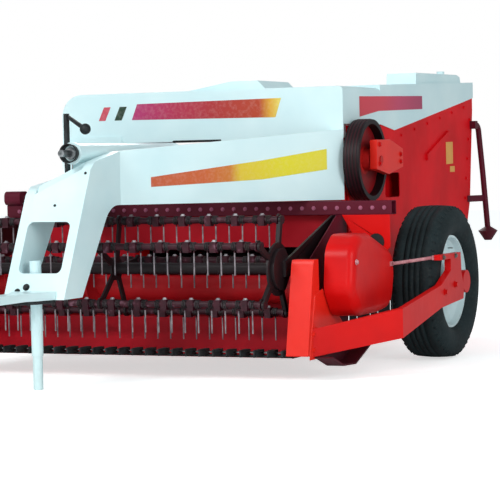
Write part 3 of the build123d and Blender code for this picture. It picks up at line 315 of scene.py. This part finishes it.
finishOf = {
    "white": ("front_hood", "side_hood", "gooseneck_left", "gooseneck_right", "hitch_upper_plate",
              "hitch_lower_plate", "hitch_cowl", "tongue", "jack_leg", "jack_sleeve", "shaft_housing"),
    "wheel": ("rim_left", "rim_right"),
    "red": ("drive_guard", "outer_rail_left", "outer_rail_right", "beam_gusset", "feed_throat"),
    "side": ("side_tower", "threshing_housing", "blower_housing", "outlet_duct", "front_frame",
             "chassis_frame"),
    # the bearing bracket takes this brighter orange in place of its red: painted light on a shaded part
    "orange": ("divider_left", "divider_right", "bearing_bracket"),
    "maroon": ("header_top_beam", "beam_end_cap", "skid_left", "skid_right", "rear_tube",
               "header_end_left", "header_end_right"),
    # the reel arms take the black as well, which paints the deep shade round the reel's ends
    "spider": ("reel_cam_spider", "reel_spiders", "reel_arm_left", "reel_arm_right"),
    "table": ("header_table", "header_back_wall"),
    "auger": ("auger",),
    "steel": ("knife", "input_shaft"),
    "rod": ("brace_rod",),
    "iron": ("gearbox", "shaft_rest", "stub_axles", "threshing_drum", "cutter_guards"),
    "rubber": ("tyre_left", "tyre_right"),
}


def dress(name, material):
    mesh = nodes[name].data
    mesh.materials.clear()
    mesh.materials.append(material)


for finish, names in finishOf.items():
    for name in names:
        dress(name, materials[finish])

# Places that the frame gives: the wheels, the reel's bats and the flywheel
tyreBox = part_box("tyre_right")
axleY = (tyreBox[0][1] + tyreBox[1][1]) / 2
wheelZ = (tyreBox[0][2] + tyreBox[1][2]) / 2
jointPlace = {joint["name"]: joint.get("pos_m") for joint in frame["record"]["behaviour"]["joints"]}
batPlaces = [Vector(jointPlace[f"bat_{n}_swivel"]) for n in range(1, 6)]
flywheelCentre = Vector(jointPlace["flywheel_spin"])
flywheelRadius = (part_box("flywheel")[1][2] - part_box("flywheel")[0][2]) / 2
flywheelRim = 0.026
for n, place in enumerate(batPlaces, 1):
    dress(f"reel_bat_{n}", batFinish(f"bat enamel and tine wire {n}", place.z))
dress("flywheel", flywheelFinish("painted flywheel iron", tuple(flywheelCentre), flywheelRadius,
                                 flywheelRadius - flywheelRim))
print("materials set")

# Folded sheets and boxes get a small rounded edge, which catches the light as real ones do
edgeTable = (
    # width in metres, nodes
    (0.010, ("gooseneck_left", "gooseneck_right", "front_hood", "side_hood")),
    (0.004, ("hitch_upper_plate", "hitch_lower_plate", "hitch_cowl", "tongue", "outer_rail_left",
             "outer_rail_right", "divider_left", "divider_right", "header_top_beam", "gearbox",
             "bearing_bracket", "chassis_frame", "outlet_duct", "shaft_housing", "beam_end_cap")),
    (0.002, ("side_tower", "beam_gusset", "front_frame", "skid_right", "skid_left", "flywheel",
             "reel_arm_left", "reel_arm_right", "cutter_guards", "brace_rod", "shaft_rest")),
)


# Only edges that fold by more than the angle are rounded
edgeValues = {"angle": 32, "segments": 2, "weld": 0.00002}


def addBevel(piece, width):
    bevel = piece.modifiers.new("rounded edge", "BEVEL")
    bevel.width = width
    bevel.segments = edgeValues["segments"]
    bevel.limit_method = "ANGLE"
    bevel.angle_limit = math.radians(edgeValues["angle"])


def roundEdges(name, width):
    node = nodes[name]
    weld = node.modifiers.new("joined triangles", "WELD")
    weld.merge_threshold = edgeValues["weld"]
    addBevel(node, width)
    normals = node.modifiers.new("even normals", "WEIGHTED_NORMAL")
    normals.keep_sharp = False
    for polygon in node.data.polygons:
        polygon.use_smooth = True


for width, names in edgeTable:
    for name in names:
        roundEdges(name, width)
print("edges rounded")


def row(x, y, z):
    # A place given by its distance behind the axle
    return Vector((x, axleY + y, z))


def addBox(bm, low, high):
    size = high - low
    matrix = Matrix.Translation((low + high) / 2) @ Matrix.Diagonal((*size, 1.0))
    return bmesh.ops.create_cube(bm, size=1.0, matrix=matrix)["verts"]


def facing(axis):
    return Vector(axis).to_track_quat("Z", "Y").to_matrix().to_4x4()


def addRound(bm, centre, axis, radius, depth, segments=16, endRadius=None):
    # A round piece from its near end along the axis
    matrix = Matrix.Translation(Vector(centre) + Vector(axis).normalized() * depth / 2) @ facing(axis)
    return bmesh.ops.create_cone(bm, cap_ends=True, segments=segments, radius1=radius,
                                 radius2=radius if endRadius is None else endRadius,
                                 depth=depth, matrix=matrix)["verts"]


# Bolts: each length is a share of the size, which is the radius over the head's corners
boltShares = {"washerRadius": 1.5, "washerDepth": 0.3, "headDepth": 0.75}


def addBolt(bm, place, axis, size):
    # A washer with a hexagon head on it, standing on a surface
    washer = size * boltShares["washerDepth"]
    addRound(bm, place, axis, size * boltShares["washerRadius"], washer, 14)
    head = Vector(place) + Vector(axis).normalized() * washer
    addRound(bm, head, axis, size, size * boltShares["headDepth"], 6)


def addRing(bm, centre, axis, profile, steps):
    # A closed profile of (along the axis, radius) spun all the way round
    turn = facing(axis)
    side = turn @ Vector((1, 0, 0))
    ahead = turn @ Vector((0, 0, 1))
    verts = [bm.verts.new(Vector(centre) + ahead * a + side * r) for a, r in profile]
    edges = [bm.edges.new((verts[n], verts[(n + 1) % len(verts)])) for n in range(len(verts))]
    bmesh.ops.spin(bm, geom=verts + edges, cent=centre, axis=ahead, angle=math.tau, steps=steps,
                   use_merge=True)


def addPipe(bm, points, radius, segments=10):
    # A tube through a few points, its ends capped
    points = [Vector(point) for point in points]
    rings = []
    for n, point in enumerate(points):
        before = points[max(n - 1, 0)]
        after = points[min(n + 1, len(points) - 1)]
        matrix = Matrix.Translation(point) @ facing(after - before)
        verts = bmesh.ops.create_circle(bm, segments=segments, radius=radius, matrix=matrix)["verts"]
        rings.append(list({edge for vert in verts for edge in vert.link_edges}))
    for first, second in zip(rings, rings[1:]):
        bmesh.ops.bridge_loops(bm, edges=first + second)
    bmesh.ops.contextual_create(bm, geom=rings[0])
    bmesh.ops.contextual_create(bm, geom=rings[-1])


def makePiece(name, bm, material, body="root", smooth=False, edge=0.0):
    bmesh.ops.remove_doubles(bm, verts=bm.verts, dist=0.000005)
    bmesh.ops.recalc_face_normals(bm, faces=bm.faces)
    mesh = bpy.data.meshes.new(name)
    bm.to_mesh(mesh)
    bm.free()
    mesh.materials.append(materials[material] if isinstance(material, str) else material)
    piece = bpy.data.objects.new(name, mesh)
    bpy.context.scene.collection.objects.link(piece)
    if smooth:
        for polygon in mesh.polygons:
            polygon.use_smooth = True
    if edge:
        addBevel(piece, edge)
    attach(piece, body)
    return piece


# Tyres: an implement tyre with four grooves round its crown and short lugs at its shoulders
tyreValues = {
    "crownGrooves": (-0.048, -0.016, 0.016, 0.048),
    "grooveWidth": 0.007,
    "grooveFloor": 0.6,
    "grooveDepth": 0.009,
    "crownDrop": 0.004,
    "crownFall": 0.05,
    "lugCount": 52,
    "lugSize": (0.020, 0.009, 0.016),
    "lugInset": 0.030,
    "lugDrop": 0.0235,
    "lugLean": 48,
    "steps": 96,
    "bead": 0.2545,
    "sideInset": 0.003,
    "crownInset": 0.001,
    # side wall: distance in from the tyre's side, height over the bead
    "wall": ((0.045, 0.0), (0.022, 0.016), (0.010, 0.032), (0.002, 0.060), (0.0, 0.085),
             (0.006, 0.118)),
    # shoulder: distance in from the tyre's side, drop from the crown
    "shoulder": ((0.022, 0.026), (0.040, 0.010)),
}


def makeTyre(side, values):
    low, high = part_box(f"tyre_{side}")
    centre = Vector(((low[0] + high[0]) / 2, axleY, wheelZ))
    half = (high[0] - low[0]) / 2 - values["sideInset"]
    radius = (high[2] - low[2]) / 2 - values["crownInset"]
    near = [(-half + inset, values["bead"] + rise) for inset, rise in values["wall"]]
    near += [(-half + inset, radius - drop) for inset, drop in values["shoulder"]]
    profile = list(near)
    for groove in values["crownGrooves"]:
        wide = values["grooveWidth"] / 2
        floor = wide * values["grooveFloor"]
        top = radius - values["crownDrop"] - abs(groove) * values["crownFall"]
        profile += [(groove - wide, top), (groove - floor, top - values["grooveDepth"]),
                    (groove + floor, top - values["grooveDepth"]), (groove + wide, top)]
    profile += [(-across, height) for across, height in reversed(near)]
    bm = bmesh.new()
    addRing(bm, centre, (1, 0, 0), profile, values["steps"])
    for n in range(values["lugCount"]):
        turn = Matrix.Rotation(n * math.tau / values["lugCount"], 4, "X")
        for sign in (-1, 1):
            verts = addBox(bm, -Vector(values["lugSize"]) / 2, Vector(values["lugSize"]) / 2)
            lean = Matrix.Rotation(sign * math.radians(values["lugLean"]), 4, "Y")
            out = Matrix.Translation((sign * (half - values["lugInset"]), 0, radius - values["lugDrop"]))
            place = Matrix.Translation(centre) @ turn @ out @ lean
            bmesh.ops.transform(bm, verts=verts, matrix=place)
    piece = makePiece(f"implementTyre_{side}", bm, "rubber", f"wheel_{side}", smooth=True)
    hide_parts(f"tyre_{side}")


for side in ("left", "right"):
    makeTyre(side, tyreValues)
print("tyres made")

# Wheel nuts on the rim's hub, and the valve
wheelValues = {
    "nutCount": 6, "nutCircle": 0.055, "nutSize": 0.010, "firstNut": 0.3, "hubFace": 0.061,
    # the valve's foot: outward from the tyre's middle, behind and above the axle
    "valve": (0.02, 0.1025, 0.17835), "valveRadius": 0.004, "valveLength": 0.045,
}


def makeWheelNuts(side, sign, values):
    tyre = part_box(f"tyre_{side}")
    centreX = (tyre[0][0] + tyre[1][0]) / 2
    face = centreX + sign * values["hubFace"]
    bm = bmesh.new()
    for n in range(values["nutCount"]):
        angle = n * math.tau / values["nutCount"] + values["firstNut"]
        place = Vector((face, axleY + values["nutCircle"] * math.cos(angle),
                        wheelZ + values["nutCircle"] * math.sin(angle)))
        addBolt(bm, place, (sign, 0, 0), values["nutSize"])
    across, back, up = values["valve"]
    valve = Vector((centreX + sign * across, axleY + back, wheelZ + up))
    addRound(bm, valve, (sign, 0, 0), values["valveRadius"], values["valveLength"], 8)
    makePiece(f"wheelNuts_{side}", bm, "bolt", f"wheel_{side}")


for side, sign in (("left", -1), ("right", 1)):
    makeWheelNuts(side, sign, wheelValues)
print("wheel nuts made")

# Reel: spring coils where each tine leaves its bat, and a clamp bolt over every second one
reelValues = {
    "tineCount": 24,
    "firstTine": -1.0375,
    "pitch": 0.075,
    "coilRadius": 0.0225,
    "wire": 0.0042,
    "turns": 3,
    "turnSpacing": 2.1,
    "clampRise": 0.023,
    "clampSize": 0.009,
}


def makeCoils(number, place, values):
    bm = bmesh.new()
    for n in range(values["tineCount"]):
        x = values["firstTine"] + n * values["pitch"]
        for turn in range(values["turns"]):
            offset = (turn - (values["turns"] - 1) / 2) * values["wire"] * values["turnSpacing"]
            start = Vector((x + offset - values["wire"] / 2, place.y, place.z))
            addRound(bm, start, (1, 0, 0), values["coilRadius"], values["wire"], 10)
    makePiece(f"tineCoils_{number}", bm, "spring", f"bat_{number}")
    bm = bmesh.new()
    for n in range(values["tineCount"] // 2):
        x = values["firstTine"] + (2 * n + 0.5) * values["pitch"]
        clamp = Vector((x, place.y, place.z + values["clampRise"]))
        addBolt(bm, clamp, (0, 0, 1), values["clampSize"])
    makePiece(f"clampBolts_{number}", bm, "tine", f"bat_{number}")


for number, place in enumerate(batPlaces, 1):
    makeCoils(number, place, reelValues)
print("reel coils made")

# Low ribs round the flywheel's rim, with the belts' grooves between them
ribValues = {
    "near": 0.815, "count": 4, "pitch": 0.019, "first": 0.016, "width": 0.011, "rise": 0.0025,
    "root": 0.004, "slope": 0.002, "steps": 72,
}


def makeRibs(values):
    bm = bmesh.new()
    rimNear = flywheelCentre.copy()
    rimNear.x = values["near"]
    foot, top = flywheelRadius - values["root"], flywheelRadius + values["rise"]
    for n in range(values["count"]):
        start = values["first"] + n * values["pitch"] - values["width"] / 2
        end = start + values["width"]
        profile = [(start, foot), (start + values["slope"], top),
                   (end - values["slope"], top), (end, foot)]
        addRing(bm, rimNear, (1, 0, 0), profile, values["steps"])
    makePiece("flywheelRibs", bm, "rib", "flywheel")


makeRibs(ribValues)
print("flywheel ribs made")

# Plain bands on the hood, the beam and the tower, each a thin film on its sheet
filmValues = {"thick": 0.0006, "markThick": 0.0008, "lift": 0.0008}
bandValues = {
    "face": -0.430, "left": -0.475, "right": 0.440, "slant": 0.035,
    "low": 1.354, "lowRight": 1.346, "high": 1.442, "highRight": 1.450, "barHigh": 1.430,
    "colours": ((0.0, "#B0306E"), (0.3, "#B2284C"), (0.55, "#B02A2E"), (0.86, "#B8401E"),
                (0.93, "#E0A82E"), (1.0, "#ECDC6A")),
}
barTable = (
    # name, left side, width, colour
    ("hoodBarRed", -0.685, 0.042, "#C84A5C"),
    ("hoodBarGreen", -0.585, 0.045, "#1E3A28"),
)


def addFilm(bm, corners, out, thick):
    # A flat film through its corners, given its thickness outwards
    face = bm.faces.new([bm.verts.new(Vector(corner)) for corner in corners])
    made = bmesh.ops.extrude_face_region(bm, geom=[face])
    verts = [item for item in made["geom"] if isinstance(item, bmesh.types.BMVert)]
    bmesh.ops.translate(bm, verts=verts, vec=Vector(out).normalized() * thick)


def makeBands(values, bars):
    face, slant = values["face"] - filmValues["lift"], values["slant"]
    bm = bmesh.new()
    addFilm(bm, [row(values["left"], face, values["low"]),
                 row(values["right"] - slant, face, values["lowRight"]),
                 row(values["right"], face, values["highRight"]),
                 row(values["left"] + slant, face, values["high"])],
            (0, -1, 0), filmValues["thick"])
    film = bandFilm("hood band film", values["colours"], values["left"], values["right"])
    makePiece("hoodBand", bm, film)
    for name, x, wide, tone in bars:
        bm = bmesh.new()
        addFilm(bm, [row(x, face, values["low"]), row(x + wide, face, values["low"]),
                     row(x + wide + slant, face, values["barHigh"]),
                     row(x + slant, face, values["barHigh"])],
                (0, -1, 0), filmValues["thick"])
        makePiece(name, bm, bandFilm(f"plain bar film {name}", ((0.0, tone), (1.0, tone)), x, x + wide))


makeBands(bandValues, barTable)

beamValues = {
    # the sheet's knee and rear end, then the band by its distance from the knee
    "knee": (-0.03, -1.45, 0.0), "tail": (0.80, -0.43, 0.0),
    "start": 0.172, "middle": 0.820, "end": 1.210,
    "startLow": 0.988, "startHigh": 1.038, "middleLow": 1.012, "middleHigh": 1.112,
    "endLow": 1.056, "endHigh": 1.166,
    "colours": ((0.0, "#C0542A"), (0.3, "#CC5E22"), (0.44, "#D07A26"), (0.5, "#E2C62A"),
                (0.75, "#E2D81E"), (1.0, "#E4D83A")),
}


def makeBeamBand(values):
    knee = row(*values["knee"])
    along = (row(*values["tail"]) - knee).normalized()
    out = Vector((along.y, -along.x, 0.0))
    lift = out * filmValues["lift"]

    def at(distance, z):
        return knee + along * distance + lift + Vector((0, 0, z))

    film = bandFilm("beam band film", values["colours"],
                    at(values["start"], 0).x, at(values["end"], 0).x)
    bm = bmesh.new()
    addFilm(bm, [at(values["start"], values["startLow"]), at(values["middle"], values["middleLow"]),
                 at(values["end"], values["endLow"]), at(values["end"], values["endHigh"]),
                 at(values["middle"], values["middleHigh"]), at(values["start"], values["startHigh"])],
            out, filmValues["thick"])
    makePiece("beamBand", bm, film)


makeBeamBand(beamValues)

# Side film on the narrow hood, and the yellow marks on the tower
sideValues = {
    "hoodFace": 0.80, "towerFace": 0.795, "front": -0.18, "rear": 0.86,
    # corners, each as its distance behind the axle and its height
    "band": ((-0.18, 1.340), (0.12, 1.375), (0.86, 1.395), (0.86, 1.472), (-0.18, 1.452)),
    "marks": (((1.30, 1.062), (1.43, 1.066), (1.43, 1.200), (1.30, 1.198)),
              ((1.37, 1.014), (1.46, 1.014), (1.46, 1.050), (1.37, 1.050))),
    "colours": ((0.0, "#D82A40"), (0.35, "#D83048"), (0.6, "#C83460"), (1.0, "#A82A58")),
}


def makeSideMarks(values):
    face = values["hoodFace"] + filmValues["lift"]
    bm = bmesh.new()
    addFilm(bm, [row(face, y, z) for y, z in values["band"]], (1, 0, 0), filmValues["thick"])
    film = sideFilm("side band film running back", values["colours"],
                    axleY + values["front"], axleY + values["rear"])
    makePiece("sideBand", bm, film)
    bm = bmesh.new()
    tower = values["towerFace"] + filmValues["lift"]
    for mark in values["marks"]:
        addFilm(bm, [row(tower, y, z) for y, z in mark], (1, 0, 0), filmValues["markThick"])
    makePiece("towerMarks", bm, "yellow")


makeSideMarks(sideValues)
print("bands made")

# Rows of bolts where sheets and brackets are fastened
boltRows = (
    # name, first place, last place, count, facing, size, finish; y is the distance behind the axle
    # the beam's bolt heads are pale pink, partly a painted glint
    ("beamBolts", (-1.12, -0.60, 0.850), (1.09, -0.60, 0.850), 34, (0, -1, 0), 0.0075, "dot"),
    ("towerFrontBolts", (0.795, -0.33, 0.52), (0.795, -0.33, 0.80), 4, (1, 0, 0), 0.008, "side"),
    ("towerRearBolts", (0.795, 1.60, 0.60), (0.795, 1.77, 1.34), 7, (1, 0, 0), 0.008, "side"),
    ("towerTopBolts", (0.795, 0.50, 1.24), (0.795, 1.66, 1.415), 6, (1, 0, 0), 0.007, "side"),
    ("bracketBolts", (0.952, -0.28, 1.185), (0.952, -0.28, 1.08), 2, (1, 0, 0), 0.010, "red"),
    ("bracketRearBolts", (0.952, 0.05, 1.13), (0.952, 0.05, 1.09), 2, (1, 0, 0), 0.010, "red"),
    ("hubPlateBolts", (1.342, -0.37, 0.39), (1.342, -0.20, 0.42), 2, (1, 0, 0), 0.013, "red"),
    ("hubPlateTopBolts", (1.342, -0.39, 0.575), (1.342, -0.19, 0.575), 2, (1, 0, 0), 0.010, "bolt"),
    ("dividerBolts", (0.974, -1.34, 0.16), (0.974, -1.34, 0.24), 2, (1, 0, 0), 0.010, "orange"),
    # the guard's bolt is pale pink: a painted highlight
    ("guardBolt", (1.1385, -1.150, 0.590), (1.1385, -1.150, 0.590), 1, (1, 0, 0), 0.010, "rod"),
)


def makeBoltRows(table):
    for name, first, last, count, axis, size, finish in table:
        bm = bmesh.new()
        for n in range(count):
            share = n / (count - 1) if count > 1 else 0.0
            place = row(*first).lerp(row(*last), share)
            addBolt(bm, place, axis, size)
        makePiece(name, bm, finish)


makeBoltRows(boltRows)
print("bolts made")

# Shaft end: a black bell guard round the input shaft
bellValues = {
    "across": -0.14, "height": 1.168, "rear": -1.762, "reach": 0.038, "wall": 0.004,
    "radius": 0.044, "mouth": 0.050, "waist": 0.6, "waistOuter": 0.046, "waistInner": 0.041,
}


def makeShaftBell(values):
    bm = bmesh.new()
    reach, waist = values["reach"], values["reach"] * values["waist"]
    profile = [(0.0, values["radius"] - values["wall"]), (0.0, values["radius"]),
               (waist, values["waistOuter"]), (reach, values["mouth"]),
               (reach, values["mouth"] - values["wall"]), (waist, values["waistInner"])]
    addRing(bm, row(values["across"], values["rear"], values["height"]), (0, -1, 0), profile, 32)
    makePiece("shaftBell", bm, "black", smooth=True)


makeShaftBell(bellValues)

# Black strip under the front hood, along the gap where light comes through: a dark piece that paints the
# shadow on the gap's edges
shadowStripValues = {
    "left": -0.215, "right": 0.075, "face": -0.436, "height": 1.226, "radius": 0.0065,
    "tuck": 0.004, "turnIn": 0.012, "drop": 0.045,
}


def makeShadowStrip(values):
    bm = bmesh.new()
    left, face, height = values["left"], values["face"], values["height"]
    addPipe(bm, [row(left, face, height), row(values["right"], face, height)], values["radius"])
    addPipe(bm, [row(left, face, height + values["tuck"]),
                 row(left + values["turnIn"], face, height - values["drop"])], values["radius"])
    makePiece("hoodShadowStrip", bm, "black", smooth=True)


makeShadowStrip(shadowStripValues)

# Black disc filling the gusset's hole, where a hydraulic hose goes through: painted shade for the dark
# inside of the hole
shadowPlugValues = {"place": (1.040, -0.5985, 0.668), "radius": 0.0445, "depth": 0.008}


def makeShadowPlug(values):
    bm = bmesh.new()
    addRound(bm, row(*values["place"]), (0, 1, 0), values["radius"], values["depth"], 32)
    makePiece("gussetShadowPlug", bm, "black", edge=0.002)


makeShadowPlug(shadowPlugValues)

# Counterbalance spring behind the drive guard, hung from the gusset to the rail's bracket
springValues = {
    "top": (1.10, -0.375, 0.545), "low": (1.10, -0.335, 0.375), "hook": 0.03, "radius": 0.024,
    "wire": 0.0045, "turns": 13, "turnSteps": 10,
}


def makeSpring(values):
    top, low = row(*values["top"]), row(*values["low"])
    down = (low - top).normalized()
    side = Vector((1, 0, 0))
    across = down.cross(side)
    points = [top - down * values["hook"]]
    steps = values["turns"] * values["turnSteps"]
    for n in range(steps + 1):
        angle = n / values["turnSteps"] * math.tau
        points.append(top.lerp(low, n / steps)
                      + (side * math.cos(angle) + across * math.sin(angle)) * values["radius"])
    points.append(low + down * values["hook"])
    bm = bmesh.new()
    addPipe(bm, points, values["wire"], 6)
    # the pale pink paints the highlight along the red coils
    makePiece("headerSpring", bm, "rod", smooth=True)


makeSpring(springValues)

# Dark rubber flap under the tower's lower edge, cut into strips: a dark sheet that paints the shade in
# the gap under the drive guard, shaped as a flap that keeps straw off the axle
shadowFlapValues = {
    "front": -0.36, "rear": 0.62, "top": 0.50, "low": 0.17, "strips": 9, "thick": 0.004,
    "gap": 0.0006, "place": 0.785,
    # how far the strips hang out of line and end unevenly, each with its own wave
    "hang": 0.006, "hangWave": 2.1, "uneven": 0.012, "unevenWave": 1.7,
    "barNear": 0.004, "barFar": 0.008, "barLow": 0.03, "barHigh": 0.01,
}


def makeShadowFlap(values):
    bm = bmesh.new()
    width = (values["rear"] - values["front"]) / values["strips"]
    for n in range(values["strips"]):
        start = values["front"] + n * width
        near = values["place"] + values["hang"] * math.sin(n * values["hangWave"])
        end = values["low"] + values["uneven"] * math.sin(n * values["unevenWave"])
        addBox(bm, row(near, start + values["gap"] / 2, end),
               row(near + values["thick"], start + width - values["gap"] / 2, values["top"]))
    # the bar that clamps the strips
    low, high = values["top"] - values["barLow"], values["top"] + values["barHigh"]
    addBox(bm, row(values["place"] - values["barNear"], values["front"], low),
           row(values["place"] + values["barFar"], values["rear"], high))
    makePiece("axleShadowFlap", bm, "rubber", edge=0.001)


makeShadowFlap(shadowFlapValues)

# Left side of the body: the drum's bearing flange and the blower's bolted end cover, and the
# pressed ribs across the threshing housing's lid
endValues = {
    "drum": (-0.9065, 0.11, 0.74), "flange": 0.19, "flangeThick": 0.008, "flangeBolt": 0.011,
    "boltShare": 0.72, "hub": 0.046, "hubReach": 0.032, "hubTaper": 0.86,
    "blower": (-0.8805, 1.08, 0.80), "cover": 0.21, "coverThick": 0.008, "coverBolt": 0.009,
    "boltCircle": 0.19, "bolts": 10,
    "ribs": 4, "ribLeft": -0.84, "ribRight": 0.44, "ribFirst": -0.16, "ribPitch": 0.16,
    "ribWidth": 0.026, "ribFoot": 1.018, "ribTop": 1.027,
}


def addHub(bm, face, values):
    # A round cap that narrows to its end, on the left side
    addRound(bm, face, (-1, 0, 0), values["hub"], values["hubReach"], 28,
             values["hub"] * values["hubTaper"])


def makeDrumEnd(values):
    drum = row(*values["drum"])
    half = values["flange"] / 2
    bm = bmesh.new()
    addBox(bm, drum + Vector((-values["flangeThick"], -half, -half)), drum + Vector((0.0, half, half)))
    makePiece("drumFlange", bm, "side", edge=0.003)
    bm = bmesh.new()
    face = drum - Vector((values["flangeThick"], 0, 0))
    addHub(bm, face, values)
    reach = half * values["boltShare"]
    for across in (-1, 1):
        for up in (-1, 1):
            spot = face + Vector((0, across * reach, up * reach))
            addBolt(bm, spot, (-1, 0, 0), values["flangeBolt"])
    makePiece("drumBearing", bm, "iron", edge=0.002)


def makeBlowerEnd(values):
    blower = row(*values["blower"])
    bm = bmesh.new()
    addRound(bm, blower, (-1, 0, 0), values["cover"], values["coverThick"], 64)
    makePiece("blowerCover", bm, "side", edge=0.003)
    bm = bmesh.new()
    face = blower - Vector((values["coverThick"], 0, 0))
    for n in range(values["bolts"]):
        angle = n * math.tau / values["bolts"]
        spot = Vector((0, math.cos(angle), math.sin(angle))) * values["boltCircle"]
        addBolt(bm, face + spot, (-1, 0, 0), values["coverBolt"])
    addHub(bm, face, values)
    makePiece("blowerBolts", bm, "bolt", edge=0.001)


def makeHousingRibs(values):
    bm = bmesh.new()
    for n in range(values["ribs"]):
        start = values["ribFirst"] + n * values["ribPitch"]
        addBox(bm, row(values["ribLeft"], start, values["ribFoot"]),
               row(values["ribRight"], start + values["ribWidth"], values["ribTop"]))
    makePiece("housingRibs", bm, "side", edge=0.005)


makeDrumEnd(endValues)
makeBlowerEnd(endValues)
makeHousingRibs(endValues)
print("body ends made")

# Hitch: four bolts on its sloping face, and the curved stay under the tongue
hitchValues = {
    # a place on the face, as its distance behind the axle and its height, and the face's slope
    "face": (-1.7505, 1.125), "slope": 0.4857,
    # across, height, size
    "bolts": ((-0.300, 0.494, 0.010), (-0.254, 0.514, 0.012), (-0.19, 0.91, 0.005),
              (-0.054, 1.068, 0.005)),
    "stayCentre": (-0.2, -2.06), "stayHalf": 0.105, "stayReach": 0.16, "stayHeight": 0.446,
    "stayEnd": (-2.05, 0.452), "stayRadius": 0.008, "staySteps": 8,
}


def makeHitchBolts(values):
    bm = bmesh.new()
    back, top = values["face"]
    for x, z, size in values["bolts"]:
        spot = row(x, back - values["slope"] * (top - z), z)
        addBolt(bm, spot, (0, -1, values["slope"]), size)
    makePiece("hitchBolts", bm, "iron")


def makeHitchStay(values):
    bm = bmesh.new()
    across, back = values["stayCentre"]
    half, steps = values["stayHalf"], values["staySteps"]
    stay = [row(across - half, *values["stayEnd"])]
    for n in range(steps + 1):
        turn = math.pi * n / steps
        stay.append(row(across - half * math.cos(turn), back - values["stayReach"] * math.sin(turn),
                        values["stayHeight"]))
    stay.append(row(across + half, *values["stayEnd"]))
    addPipe(bm, stay, values["stayRadius"])
    makePiece("hitchStay", bm, "iron", smooth=True)


makeHitchBolts(hitchValues)
makeHitchStay(hitchValues)
print("small fittings made")

# Floor, light and camera
stageValues = {
    "floorSize": 60.0, "floorColour": "#F2F4F4", "floorRoughness": 0.9, "floorGlow": 0.6,
    "worldColour": "#E6EEF2", "worldStrength": 0.5,
}


def makeFloor(values):
    bm = bmesh.new()
    bmesh.ops.create_grid(bm, x_segments=1, y_segments=1, size=values["floorSize"] / 2)
    mesh = bpy.data.meshes.new("floor")
    bm.to_mesh(mesh)
    bm.free()
    floor = bpy.data.objects.new("floor", mesh)
    bpy.context.scene.collection.objects.link(floor)
    # matt white floor paint; camera rays get a little glow, so that it meets the white behind
    mat, tree, shader = newMaterial("pale studio floor")[:3]
    output = next(node for node in tree.nodes if node.type == "OUTPUT_MATERIAL")
    shader.inputs["Base Color"].default_value = linear(values["floorColour"])
    shader.inputs["Roughness"].default_value = values["floorRoughness"]
    seen = addNode(tree, "ShaderNodeLightPath").outputs["Is Camera Ray"]
    amount = addNode(tree, "ShaderNodeMath", {"operation": "MULTIPLY"},
                     {0: seen, 1: values["floorGlow"]})
    glow = addNode(tree, "ShaderNodeEmission", inputs={
        "Color": (1, 1, 1, 1), "Strength": amount.outputs["Value"]})
    both = addNode(tree, "ShaderNodeAddShader", inputs={
        0: shader.outputs["BSDF"], 1: glow.outputs["Emission"]})
    tree.links.new(both.outputs["Shader"], output.inputs["Surface"])
    mesh.materials.append(mat)


def makeWorld(values):
    world = bpy.data.worlds.new("studio")
    bpy.context.scene.world = world
    world.use_nodes = True
    tree = world.node_tree
    tree.nodes.clear()
    soft = addNode(tree, "ShaderNodeBackground", inputs={
        "Color": linear(values["worldColour"]), "Strength": values["worldStrength"]})
    # the camera sees plain white
    plain = addNode(tree, "ShaderNodeBackground", inputs={"Color": (1, 1, 1, 1), "Strength": 1.0})
    path = addNode(tree, "ShaderNodeLightPath")
    shown = addNode(tree, "ShaderNodeMath", {"operation": "MAXIMUM"},
                    {0: path.outputs["Is Camera Ray"], 1: path.outputs["Is Transmission Ray"]})
    mix = addNode(tree, "ShaderNodeMixShader", inputs={"Fac": shown.outputs["Value"]})
    tree.links.new(soft.outputs["Background"], mix.inputs[1])
    tree.links.new(plain.outputs["Background"], mix.inputs[2])
    addNode(tree, "ShaderNodeOutputWorld", inputs={"Surface": mix.outputs["Shader"]})


lampTable = (
    # name, place, aim, size, watts
    ("keyLamp", (-2.5, -9.0, 6.5), (0.0, 0.0, 0.6), 4.0, 480),
    ("fillLamp", (9.0, -6.0, 4.0), (0.4, 0.0, 0.6), 5.0, 360),
    ("lowLamp", (1.0, -9.0, 1.4), (-0.2, -0.7, 0.5), 2.5, 60),
    ("backLamp", (-4.0, 9.0, 6.0), (0.0, 0.5, 0.6), 4.0, 260),
)


def makeLamps(table):
    for name, place, aim, size, watts in table:
        data = bpy.data.lights.new(name, "AREA")
        data.shape = "DISK"
        data.size = size
        data.energy = watts
        lamp = bpy.data.objects.new(name, data)
        lamp.location = place
        lamp.rotation_euler = (Vector(aim) - Vector(place)).to_track_quat("-Z", "Y").to_euler()
        bpy.context.scene.collection.objects.link(lamp)


cameraValues = {
    "place": (5.021, -10.8825, 1.12),
    "azimuth": 23.95,
    "pitch": 2.43,
    "roll": 1.25,
    "lens": 154.15,
    "sensor": 36.0,
    "farClip": 200.0,
}


def makeCamera(values):
    a, p, t = (math.radians(values[key]) for key in ("azimuth", "pitch", "roll"))
    forward = Vector((-math.sin(a) * math.cos(p), math.cos(a) * math.cos(p), -math.sin(p)))
    level = Vector((math.cos(a), math.sin(a), 0.0))
    upright = level.cross(forward)
    right = level * math.cos(t) - upright * math.sin(t)
    up = level * math.sin(t) + upright * math.cos(t)
    data = bpy.data.cameras.new("photoCamera")
    data.sensor_width = values["sensor"]
    data.lens = values["lens"]
    data.clip_end = values["farClip"]
    camera = bpy.data.objects.new("photoCamera", data)
    turn = Matrix((right, up, -forward)).transposed().to_4x4()
    camera.matrix_world = Matrix.Translation(values["place"]) @ turn
    bpy.context.scene.collection.objects.link(camera)
    bpy.context.scene.camera = camera


makeFloor(stageValues)
makeWorld(stageValues)
makeLamps(lampTable)
makeCamera(cameraValues)
bpy.context.scene.view_settings.view_transform = "Standard"
print("stage, lamps and camera set")
